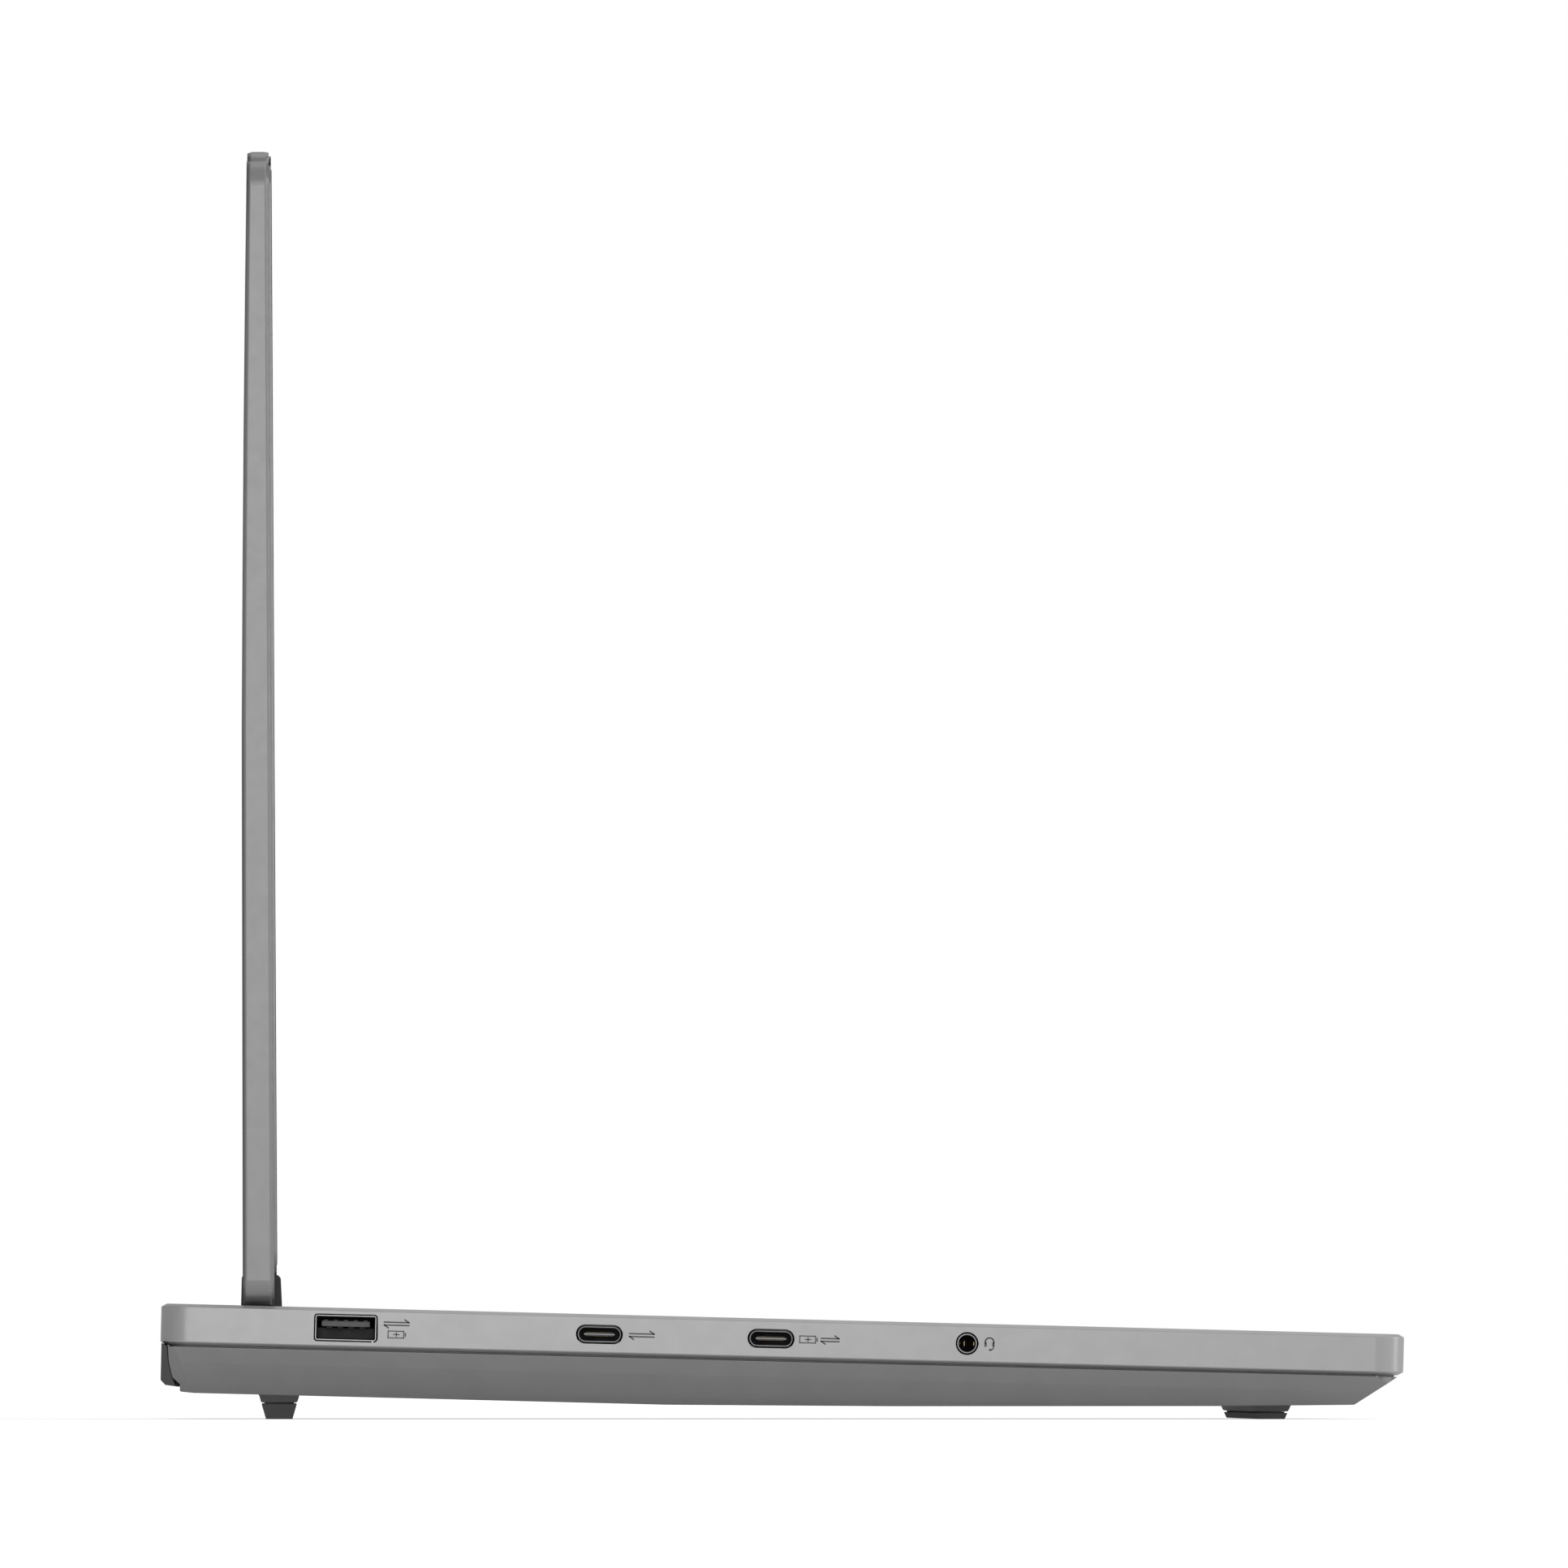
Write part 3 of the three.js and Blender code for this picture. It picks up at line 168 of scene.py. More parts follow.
FINISHES = {
    "shell": surface("satin_shell", grey(0.48), 0.32, 0.55, (1400,) * 3, 0.0, 1e-5, 0.02, 0.03),
    # The lid uses the shell's satin metal set darker: painted shade that darkens the lid's faces
    "lid_shell": surface("satin_lid_shell_painted_shade", grey(0.31), 0.32, 0.55, (1400,) * 3, 0.0, 1e-5, 0.02, 0.03),
    "lower_shell": surface("matt_lower_shell", grey(0.3), 0.45, 0.2, (1100,) * 3, 0.10, 2e-5, 0.03, 0.05),
    "rear_grille": surface("rear_grille_plastic", grey(0.085), 0.5, 0.0, (1000,) * 3, 0.15, 2e-5, 0.05),
    "hinge_plastic": surface("hinge_plastic", grey(0.06), 0.5, 0.0, (1000,) * 3, 0.12, 2e-5, 0.04),
    "keycaps": surface("keycap_plastic", grey(0.19), 0.58, 0.0, (1800,) * 3, 0.22, 2e-5, 0.04),
    "legend": surface("legend_ink", grey(0.72), 0.5, 0.0, (1500,) * 3, 0.05, 1e-5, 0.03),
    "mark": surface("wall_mark_ink", grey(0.12), 0.6, 0.0, (1500,) * 3, 0.05, 1e-5, 0.05),
    "dark_plastic": surface("dark_plastic", grey(0.022), 0.5, 0.0, (900,) * 3, 0.15, 2e-5, 0.1),
    "tongue": surface("socket_tongue_plastic", grey(0.13), 0.4, 0.0, (900,) * 3, 0.08, 1e-5, 0.06),
    "socket_lining": surface("socket_lining", grey(0.008), 0.6, 0.0, (900,) * 3, 0.08, 1e-5, 0.1),
    "bezel": surface("bezel_plastic", grey(0.012), 0.5, 0.0, (1600,) * 3, 0.16, 2e-5, 0.1),
    "gasket": surface("lid_gasket", grey(0.015), 0.75, 0.0, (900,) * 3, 0.15, 2e-5, 0.1),
    "screen": surface("anti_glare_screen", (0.006, 0.0065, 0.008), 0.28, 0.0, (2600,) * 3, 0.05, 1e-5,
                      0.15, 0.03, coat=0.15),
    "lens": surface("camera_lens", (0.004, 0.005, 0.012), 0.06, 0.0, (600,) * 3, 0.0, 1e-5, 0.1, 0.02, 0.8),
    "socket_steel": surface("socket_steel", grey(0.5), 0.3, 0.9, (400, 3500, 400), 0.1, 1e-5, 0.05),
    "contact": surface("gold_contact", (0.72, 0.52, 0.25), 0.28, 1.0, (2000, 300, 2000), 0.05, 1e-5, 0.06),
    "plate_steel": surface("plate_steel", grey(0.42), 0.38, 0.9, (90, 2600, 900), 0.15, 1.5e-5, 0.07),
    "screws": surface("screw_steel", grey(0.07), 0.35, 0.8, (2500,) * 3, 0.12, 1e-5, 0.08),
    "copper": surface("copper", (0.72, 0.34, 0.2), 0.32, 1.0, (300, 900, 2200), 0.12, 2e-5, 0.12),
    "circuit_board": surface("circuit_board", (0.012, 0.055, 0.03), 0.42, 0.0, (420,) * 3, 0.3, 4e-5,
                             0.5, 0.1),
    "battery_wrap": surface("battery_wrap", grey(0.03), 0.36, 0.0, (55, 120, 200), 0.3, 1e-4, 0.15),
    "foot_rubber": surface("foot_rubber", grey(0.24), 0.72, 0.0, (1300,) * 3, 0.4, 3e-5, 0.08),
    "dust_mesh": surface("dust_mesh", grey(0.03), 0.55, 0.3, (1500,) * 3, 0.1, 1e-5, 0.1),
}
WHITE_LIGHT = glow("white_lamp", (0.9, 0.95, 1.0), 0.6)


def paint_cad_nodes():
    """Gives every node that stays the finish of its slot in the record."""
    for part in frame["record"]["subparts"]:
        mesh = frame["nodes"][part["node"]].data
        mesh.materials.clear()
        mesh.materials.append(FINISHES[part["material_slot"]])


# ---------------------------------------------------------------- shapes: (points, faces)
def merged(*shapes):
    points, faces = [], []
    for shape_points, shape_faces in shapes:
        start = len(points)
        points += shape_points
        faces += [[start + i for i in face] for face in shape_faces]
    return points, faces


def moved(shape, matrix):
    return [matrix @ Vector(p) for p in shape[0]], shape[1]


def shifted(shape, x, y, z):
    return moved(shape, Matrix.Translation((x, y, z)))


def loft(rings, loop=False):
    """A skin over rings of equally many points, closed with end faces or, as a loop, on itself."""
    count = len(rings[0])
    points = [p for ring in rings for p in ring]
    faces = []
    for i in range(len(rings) if loop else len(rings) - 1):
        near, far = i * count, (i + 1) % len(rings) * count
        for k in range(count):
            after = (k + 1) % count
            faces.append([near + k, near + after, far + after, far + k])
    if not loop:
        faces.append(list(range(count))[::-1])
        faces.append(list(range(len(points) - count, len(points))))
    return points, faces


def rounded(x0, x1, y0, y1, radius, z, steps=5):
    """A rounded rectangle at height z, as one ring."""
    ring = []
    corners = [(x1 - radius, y0 + radius), (x1 - radius, y1 - radius),
               (x0 + radius, y1 - radius), (x0 + radius, y0 + radius)]
    for quarter, (x, y) in enumerate(corners):
        for i in range(steps + 1):
            angle = math.radians((quarter - 1 + i / steps) * 90)
            ring.append((x + radius * math.cos(angle), y + radius * math.sin(angle), z))
    return ring


def circle(radius, z, count=32, lobes=0, wave=0.0):
    """A circle, or a star with soft lobes, at height z."""
    ring = []
    for i in range(count):
        angle = 2 * math.pi * i / count
        reach = radius + wave * math.cos(lobes * angle)
        ring.append((reach * math.cos(angle), reach * math.sin(angle), z))
    return ring


def soft_box(x0, x1, y0, y1, z0, z1, edge):
    """A box with small chamfers all round."""
    def ring(inset, z):
        return rounded(x0 + inset, x1 - inset, y0 + inset, y1 - inset, edge, z, 1)
    return loft([ring(edge, z0), ring(0, z0 + edge), ring(0, z1 - edge), ring(edge, z1)])


def strokes(points, width, closed=False, height=0.02):
    """Thin raised lines through (x, y) points."""
    pairs = list(zip(points, points[1:] + points[:1] if closed else points[1:]))
    lines = []
    for (ax, ay), (bx, by) in pairs:
        along = Vector((bx - ax, by - ay))
        half = along.length / 2 + width / 2
        turn = Matrix.Rotation(math.atan2(along.y, along.x), 4, "Z")
        middle = Matrix.Translation(((ax + bx) / 2, (ay + by) / 2, 0))
        bar = soft_box(-half, half, -width / 2, width / 2, 0, height, min(width, height) / 4)
        lines.append(moved(bar, middle @ turn))
    return merged(*lines)


def arc(x, y, radius, start, end, count=10):
    angles = [math.radians(start + (end - start) * i / count) for i in range(count + 1)]
    return [(x + radius * math.cos(a), y + radius * math.sin(a)) for a in angles]


def lettering(text, size, x, y, z, centred=False):
    """Flat letters whose top left corner, or middle, is at (x, y)."""
    curve = bpy.data.curves.new("lettering", "FONT")
    curve.body = text
    curve.size = size
    curve.extrude = 0.012
    curve.resolution_u = 2
    curve.space_line = 0.85
    curve.align_x = "CENTER" if centred else "LEFT"
    curve.align_y = "CENTER" if centred else "TOP"
    holder = bpy.data.objects.new("lettering", curve)
    mesh = bpy.data.meshes.new_from_object(holder)
    shape = [v.co + Vector((x, y, z)) for v in mesh.vertices], [list(p.vertices) for p in mesh.polygons]
    bpy.data.objects.remove(holder)
    bpy.data.curves.remove(curve)
    bpy.data.meshes.remove(mesh)
    return shape


def piece(name, shape, place, body, finish, stands_for=(), scale=MM, crease=35):
    """One object made from a shape. It rides on a body, and may stand for CAD nodes."""
    points, faces = shape
    mesh = bpy.data.meshes.new(name)
    mesh.from_pydata([Vector(p) * scale for p in points], [], faces)
    work = bmesh.new()
    work.from_mesh(mesh)
    bmesh.ops.recalc_face_normals(work, faces=work.faces)
    work.to_mesh(mesh)
    work.free()
    mesh.shade_smooth()
    mesh.set_sharp_from_angle(angle=math.radians(crease))
    mesh.materials.append(FINISHES[finish] if isinstance(finish, str) else finish)
    made = bpy.data.objects.new(name, mesh)
    bpy.context.scene.collection.objects.link(made)
    made.matrix_world = place
    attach(made, body)
    if stands_for:
        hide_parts(*stands_for)
    return made


def softened(node, width, body, finish, weigh=None, segments=2):
    """A copy of a CAD node with rounded edges, standing for it. weigh(edge middle) is from 0 to 1."""
    work = bmesh.new()
    work.from_mesh(frame["nodes"][node].data)
    bmesh.ops.remove_doubles(work, verts=work.verts, dist=JOIN_DISTANCE)
    bmesh.ops.dissolve_limit(work, angle_limit=FLAT_ANGLE, verts=work.verts, edges=work.edges)
    mesh = bpy.data.meshes.new(node + "_soft")
    bevel_weight = work.edges.layers.float.new("bevel_weight_edge")
    for edge in work.edges:
        # an edge with a very short neighbour stays sharp, as there is no room to round it
        room = min(near.calc_length() for end in edge.verts for near in end.link_edges) / MM
        if edge.is_manifold and edge.calc_face_angle(0) > SHARP_ANGLE and room > width / 4:
            middle = (edge.verts[0].co + edge.verts[1].co) / 2
            edge[bevel_weight] = weigh(middle) if weigh else 1.0
    work.to_mesh(mesh)
    work.free()
    mesh.shade_smooth()
    mesh.set_sharp_from_angle(angle=SHARP_ANGLE)
    mesh.materials.append(FINISHES[finish])
    made = bpy.data.objects.new(node + "_soft", mesh)
    bpy.context.scene.collection.objects.link(made)
    bevel = made.modifiers.new("rounded edges", "BEVEL")
    bevel.limit_method = "WEIGHT"
    bevel.offset_type = "ABSOLUTE"
    bevel.width = width * MM
    bevel.segments = segments
    bevel.use_clamp_overlap = False
    bevel.harden_normals = True
    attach(made, body)
    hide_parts(node)
    return made


# ---------------------------------------------------------------- keyboard
LEGENDS = {
    "function_keys": ["esc"] + [f"F{i}" for i in range(1, 13)] + ["ins", "del"],
    "number_keys": ["~\n`", "!\n1", "@\n2", "#\n3", "$\n4", "%\n5", "^\n6", "&\n7", "*\n8", "(\n9", ")\n0",
                    "_\n-", "+\n=", "back"],
    "upper_letter_keys": ["tab", *"QWERTYUIOP", "{\n[", "}\n]", "|\n\\"],
    "home_letter_keys": ["caps", *"ASDFGHJKL", ":\n;", "\"\n'", "enter"],
    "lower_letter_keys": ["shift", *"ZXCVBNM", "<\n,", ">\n.", "?\n/", "shift"],
    "left_modifier_keys": ["ctrl", "fn", "menu", "alt"],
    "space_bar": [""],
    "right_modifier_keys": ["alt", "opt", "ctrl"],
    "arrow_keys": ["up", "left", "down", "right"],
    "numpad_keys": ["home", "end", "pg up", "pg dn", "num", "/", "*", "-", "7", "8", "9", "+",
                    "4", "5", "6", "1", "2", "3", "enter", "0", "."],
}
ARROW_TURN = {"up": 0, "left": 90, "down": 180, "right": 270}


def cap_tops(node):
    """The flat tops of a key node as (x0, x1, y0, y1), row by row from the rear, left to right."""
    to_deck = DECK.inverted()
    work = bmesh.new()
    work.from_mesh(frame["nodes"][node].data)
    bmesh.ops.remove_doubles(work, verts=work.verts, dist=JOIN_DISTANCE)
    corners = {v.index: to_deck @ v.co / MM for v in work.verts}
    top = {i for i, p in corners.items() if p.z > CAP_TOP - 0.02}
    tops, seen = [], set()
    for face in work.faces:
        if face.index in seen or not all(v.index in top for v in face.verts):
            continue
        waiting, island = [face], []
        while waiting:
            near = waiting.pop()
            if near.index in seen:
                continue
            seen.add(near.index)
            island += [corners[v.index] for v in near.verts]
            waiting += [f for e in near.edges for f in e.link_faces if all(v.index in top for v in f.verts)]
        xs, ys = [p.x for p in island], [p.y for p in island]
        tops.append((min(xs), max(xs), min(ys), max(ys)))
    work.free()
    return sorted(tops, key=lambda t: (-round(t[3]), t[0]))


def keycap(x0, x1, y0, y1):
    """A cap with sloping sides, a soft rim and a slightly dished top."""
    def ring(inset, radius, z):
        return rounded(x0 + inset, x1 - inset, y0 + inset, y1 - inset, radius, z, 4)
    return loft([
        ring(-0.33, 1.5, -2.95), ring(-0.06, 1.4, -0.85), ring(0.02, 1.35, -0.6), ring(0.16, 1.25, -0.44),
        ring(0.42, 1.1, -0.37), ring(0.8, 0.9, -0.38), ring(2.6, 0.7, -0.44),
    ])


def key_group(node):
    """The caps of one CAD key group, the carrier under them, and their legends."""
    body = node + "_group"
    tops = cap_tops(node)
    rows = sorted({round(t[3]) for t in tops})
    carriers = []
    for row in rows:
        in_row = [t for t in tops if round(t[3]) == row]
        y = max((t[2] + t[3]) / 2 for t in in_row)
        left, right = in_row[0][0] + 4, in_row[-1][1] - 4
        carriers.append(soft_box(left, right, y - 2.4, y + 2.4, -3.45, -2.9, 0.15))
    caps = merged(*[keycap(*t) for t in tops], *carriers)
    piece(node + "_caps", caps, DECK, body, "keycaps", [node])
    legends = []
    for (x0, x1, y0, y1), text in zip(tops, LEGENDS[node]):
        if text in ARROW_TURN:
            turn = Matrix.Rotation(math.radians(ARROW_TURN[text]), 4, "Z")
            place = Matrix.Translation(((x0 + x1) / 2, (y0 + y1) / 2, -0.43))
            legends.append(moved(strokes([(-1.5, -0.7), (0, 0.8), (1.5, -0.7)], 0.4), place @ turn))
        elif text:
            size = 2.5 if len(text) > 3 or node == "function_keys" else 3.9
            size = 2.9 if "\n" in text else size
            legends.append(lettering(text, size, x0 + 1.7, y1 - 1.3, -0.41))
    if legends:
        piece(node + "_legends", merged(*legends), DECK, body, "legend")


def keyboard():
    for node in LEGENDS:
        key_group(node)
    softened("keyboard_frame", 0.12, "base", "shell", segments=1)


# ---------------------------------------------------------------- deck details
def touchpad():
    lowest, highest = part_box("touchpad")
    to_deck = DECK.inverted()
    x0, x1 = lowest.x / MM, highest.x / MM
    y0 = (to_deck @ Vector((0, lowest.y, highest.z - 2.2 * MM))).y / MM
    y1 = (to_deck @ Vector((0, highest.y, highest.z))).y / MM

    def ring(inset, z):
        return rounded(x0 + inset, x1 - inset, y0 + inset, y1 - inset, 2.0, z, 6)
    pad = loft([ring(0.3, -1.4), ring(0, -1.2), ring(0, -0.5), ring(0.1, -0.34), ring(0.35, -0.26)])
    plate = soft_box(x0 + 8, x1 - 8, y0 + 8, y1 - 8, -2.35, -1.35, 0.2)
    piece("touchpad_plate", merged(pad, plate), DECK, "touch_surface", "shell", ["touchpad"])


def power_button():
    def ring(inset, z):
        return rounded(-8 + inset, 8 - inset, 90.7 + inset, 97.3 - inset, 3.25 - inset, z, 8)
    button = merged(
        loft([ring(0.3, -2.2), ring(0, -2.0), ring(0, -0.4), ring(0.12, -0.2), ring(0.4, -0.12),
              ring(1.2, -0.16), ring(2.6, -0.2)]),
        soft_box(-2, 2, 93, 95, -3.1, -2.1, 0.2),
    )
    piece("power_button_cap", button, DECK, "power_key", "shell", ["power_button"])
    symbol = merged(
        strokes(arc(0, 0, 1.25, 125, 415, 16), 0.28),
        strokes([(0, 0.5), (0, 1.7)], 0.28),
    )
    piece("power_symbol", shifted(symbol, 0, 94, -0.19), DECK, "power_key", WHITE_LIGHT)


def hinge_covers():
    for side in ("left", "right"):
        softened("hinge_cover_" + side, 0.25, "base", "hinge_plastic", segments=3)


# ---------------------------------------------------------------- sockets
def socket_tube(width, height, radius, wall, length):
    """A drawn steel shell whose mouth is at z = 0 and which runs back along -z."""
    def ring(inset, z):
        return rounded(-width / 2 + inset, width / 2 - inset, -height / 2 + inset, height / 2 - inset,
                       max(radius - inset, 0.12), z, 6)
    return loft([
        ring(0.02, -length), ring(0.0, -0.12), ring(0.05, -0.03), ring(wall / 2, 0.0),
        ring(wall - 0.05, -0.03), ring(wall, -0.12), ring(wall, -length + 0.9),
    ])


def socket_lining(width, height, radius, wall, length, back):
    """The black plastic that lines the inside of a shell and closes it at depth back."""
    def ring(inset, z):
        return rounded(-width / 2 + inset, width / 2 - inset, -height / 2 + inset, height / 2 - inset,
                       max(radius - inset, 0.1), z, 6)
    inner = wall + 0.03
    return loft([ring(inner, -length + 1), ring(inner, -0.5), ring(inner + 0.08, -0.45),
                 ring(inner + 0.1, -back)])


def contacts(count, pitch, width, y0, y1, z0, z1):
    first = -(count - 1) / 2 * pitch
    return merged(*[
        soft_box(first + i * pitch - width / 2, first + i * pitch + width / 2, y0, y1, z0, z1, 0.04)
        for i in range(count)
    ])


def socket(node, place, width, height, radius, length, tongue, inside, wall=0.3):
    """Shell, lining and tongue of one socket, and its small inner parts as (name, shape, finish)."""
    shell = socket_tube(width, height, radius, wall, length)
    piece(node + "_shell", shell, place, "base", "socket_steel", [node])
    lining = socket_lining(width, height, radius, wall, length, length - 2)
    piece(node + "_lining", lining, place, "base", "socket_lining")
    piece(node + "_tongue", tongue, place, "base", "tongue")
    for name, shape, finish in inside:
        piece(f"{node}_{name}", shape, place, "base", finish)


def usb_a_socket(node, place):
    tongue = soft_box(-4.95, 4.95, 0.27, 1.43, -11.8, -1.6, 0.12)
    # Near-black boxes: painted shade standing in for the four spring contacts seen in shadow under the tongue, and
    # for the three dark slots at the bottom
    painted_shade_contacts_and_slots = merged(contacts(4, 2.25, 1.1, -0.12, 0.3, -7.0, -1.9),
                     contacts(3, 3.3, 1.3, -2.36, -2.1, -7.0, -4.9))
    inside = [
        ("bumps", contacts(5, 2.03, 0.75, 1.4, 1.62, -6.0, -1.75), "tongue"),
        ("painted_shade_contacts_and_slots", painted_shade_contacts_and_slots, "socket_lining"),
        ("floor", soft_box(-5.9, 5.9, -2.3, 0.1, -11.9, -5.0, 0.15), "dark_plastic"),
    ]
    socket(node, place, 12.6, 5.26, 0.5, 13.3, tongue, inside)


def usb_c_socket(node, place):
    tongue = soft_box(-3.0, 3.0, -0.34, 0.34, -6.3, -0.9, 0.12)
    strip = soft_box(-3.1, 3.1, -0.07, 0.07, -6.0, -0.86, 0.03)
    inside = [
        ("middle_plate", strip, "socket_steel"),
        ("latch_ends", merged(soft_box(-3.15, -2.85, -0.13, 0.13, -2.0, -0.8, 0.05),
                              soft_box(2.85, 3.15, -0.13, 0.13, -2.0, -0.8, 0.05)), "socket_steel"),
        ("contacts", merged(contacts(12, 0.45, 0.24, 0.33, 0.38, -5.0, -1.4),
                            contacts(12, 0.45, 0.24, -0.38, -0.33, -5.0, -1.4)), "contact"),
    ]
    socket(node, place, 8.9, 3.22, 1.58, 6.9, tongue, inside, wall=0.25)


def video_socket(node, place):
    tongue = soft_box(-5.5, 5.5, -0.1, 0.75, -10, -1.6, 0.12)
    inside = [("contacts", contacts(10, 1.0, 0.45, -0.16, -0.08, -6, -2.0), "contact")]
    socket(node, place, 14.9, 5.5, 0.8, 10.8, tongue, inside)


def power_inlet(node, place):
    tongue = soft_box(-3.8, 3.8, -0.6, 0.6, -10, -2.0, 0.2)
    inside = [("contacts", contacts(3, 2.4, 1.2, 0.58, 0.68, -7, -2.4), "contact")]
    socket(node, place, 11.9, 5.3, 0.6, 10.8, tongue, inside)


def audio_jack(place):
    """A ring round a deep bore, with the tips of its spring contacts inside."""
    radii = [(2.02, -11.5), (2.06, -0.15), (2.01, -0.04), (1.88, 0.0), (1.78, -0.05), (1.74, -0.4)]
    ring = loft([circle(r, z, 40) for r, z in radii + [(1.74, -1.2), (1.95, -1.3)]], loop=True)
    piece("audio_jack_ring", ring, place, "base", "socket_steel", ["audio_jack"])
    bore = loft([circle(r, z, 40) for r, z in [(1.97, -13), (1.97, -1.35), (1.72, -1.25), (1.7, -12.4)]])
    piece("audio_jack_bore", bore, place, "base", "socket_lining")
    springs = merged(
        soft_box(-0.75, -0.35, -0.7, 0.7, -3.4, -2.4, 0.12),
        soft_box(-1.62, -1.3, -0.4, 0.4, -5.4, -4.2, 0.1),
        soft_box(1.25, 1.6, -0.5, 0.5, -4.6, -3.4, 0.1),
    )
    piece("audio_jack_springs", springs, place, "base", "contact")


def facing(side, along, height):
    """Places a socket in a wall. Its x runs along the wall, its y up and its z outwards."""
    stand = Matrix.Rotation(math.radians(90), 4, "X")
    turn = {"left": -90, "right": 90, "rear": 180}[side]
    depth = {"left": (-WALL_X + 0.55, along), "right": (WALL_X - 0.55, along), "rear": (along, 126.8)}[side]
    spot = Matrix.Translation(Vector((*depth, height)) * MM)
    return DECK @ spot @ Matrix.Rotation(math.radians(turn), 4, "Z") @ stand


def node_middle(node):
    """The middle of a CAD node's box in the deck's frame, in millimetres."""
    lowest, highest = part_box(node)
    return DECK.inverted() @ ((lowest + highest) / 2) / MM


def sockets():
    for node, side in (("usb_a_socket_left", "left"), ("usb_a_socket_right", "right")):
        usb_a_socket(node, facing(side, node_middle(node).y, PORT_Z))
    for node in ("usb_c_socket_rear", "usb_c_socket_front"):
        usb_c_socket(node, facing("left", node_middle(node).y, PORT_Z))
    audio_jack(facing("left", node_middle("audio_jack").y, PORT_Z))
    usb_a_socket("usb_a_socket_rear", facing("rear", node_middle("usb_a_socket_rear").x, REAR_PORT_Z))
    video_socket("video_socket", facing("rear", node_middle("video_socket").x, REAR_PORT_Z))
    power_inlet("power_inlet", facing("rear", node_middle("power_inlet").x, REAR_PORT_Z))


# ---------------------------------------------------------------- printed marks beside the sockets
def data_mark(half=2.5):
    """Two opposed arrows of that half length: something goes in and out here."""
    width = 0.3
    barb = half - 0.8
    return merged(
        strokes([(-half, 0.3), (half, 0.3)], width), strokes([(barb, 0.85), (half, 0.3)], width),
        strokes([(half, -0.3), (-half, -0.3)], width), strokes([(-barb, -0.85), (-half, -0.3)], width),
    )


def battery_mark():
    width = 0.22
    return merged(
        strokes([(-1.7, -0.7), (1.5, -0.7), (1.5, 0.7), (-1.7, 0.7)], width, closed=True),
        strokes([(1.85, -0.25), (1.85, 0.25)], 0.3),
        strokes([(-0.55, 0), (0.55, 0)], width), strokes([(0, -0.4), (0, 0.4)], width),
    )


def headset_mark():
    return merged(
        strokes(arc(0, 0.35, 0.9, 200, -20, 12), 0.24),
        strokes([(-0.8, -0.35), (-0.8, 0.15)], 0.45), strokes([(0.8, -0.35), (0.8, 0.15)], 0.45),
        strokes([(0.9, -0.4), (0.75, -1.0), (0.3, -1.2)], 0.2), strokes([(0.25, -1.2), (0.1, -1.2)], 0.4),
    )


def shutter_mark():
    return merged(
        strokes(arc(0, 0, 0.9, 0, 360, 16), 0.22), strokes(arc(0, 0, 0.3, 0, 360, 8), 0.22),
        strokes([(-1.2, -1.2), (1.2, 1.2)], 0.22),
    )


def marks():
    """Generic pictures printed on the walls, each a little towards the user from its socket."""
    def on_wall(name, shape, side, along, height):
        place = facing(side, along, height) @ Matrix.Translation((0, 0, 0.53 * MM))
        piece(name, shape, place, "base", "mark")
    left = {node: node_middle(node).y for node in
            ("usb_a_socket_left", "usb_c_socket_rear", "usb_c_socket_front", "audio_jack")}
    usb, rear, front, jack = left.values()
    on_wall("data_mark_usb_a", data_mark(), "left", usb - 10.4, PORT_Z + 1.1)
    on_wall("battery_mark_usb_a", battery_mark(), "left", usb - 10.4, PORT_Z - 1.1)
    on_wall("data_mark_usb_c_rear", data_mark(), "left", rear - 8.7, PORT_Z)
    on_wall("battery_mark_usb_c_front", battery_mark(), "left", front - 7.6, PORT_Z)
    on_wall("data_mark_usb_c_front", data_mark(1.8), "left", front - 12.1, PORT_Z)
    on_wall("headset_mark", headset_mark(), "left", jack - 4.6, PORT_Z)
    on_wall("data_mark_usb_a_right", data_mark(), "right", node_middle("usb_a_socket_right").y - 11, PORT_Z)
    on_wall("shutter_mark", shutter_mark(), "right", node_middle("shutter_switch").y + 12, PORT_Z)


# ---------------------------------------------------------------- base shells, feet and screws
def base_shells():
    case = softened("upper_case", 0.16, "base", "shell")
    for vertex in case.data.vertices:
        vertex.co.x *= 1 - 1e-4  # leaves room for the ink on the side walls
    softened("bottom_cover", 0.3, "base", "lower_shell")
    for node in ("rear_foot", "front_foot"):
        softened(node, 0.12, "base", "foot_rubber")


def bottom_screws():
    """Screw heads with a six-lobed recess."""
    downwards = Matrix.Rotation(math.pi, 4, "X")
    for number in range(1, 6):
        node = f"bottom_screw_{number}"
        middle = node_middle(node)
        lowest = min((DECK.inverted() @ v.co).z for v in frame["nodes"][node].data.vertices) / MM
        rings = [circle(0.8, -5.0, 24), circle(0.8, -0.75, 24), circle(1.5, -0.7, 24), circle(2.15, -0.6, 24),
                 circle(2.15, -0.2, 24), circle(1.95, 0, 24), circle(0.95, 0, 24, 6, 0.16),
                 circle(0.85, -0.5, 24, 6, 0.14)]
        place = DECK @ Matrix.Translation(Vector((middle.x, middle.y, lowest)) * MM) @ downwards
        piece(node + "_head", loft(rings), place, "base", "screws", [node])


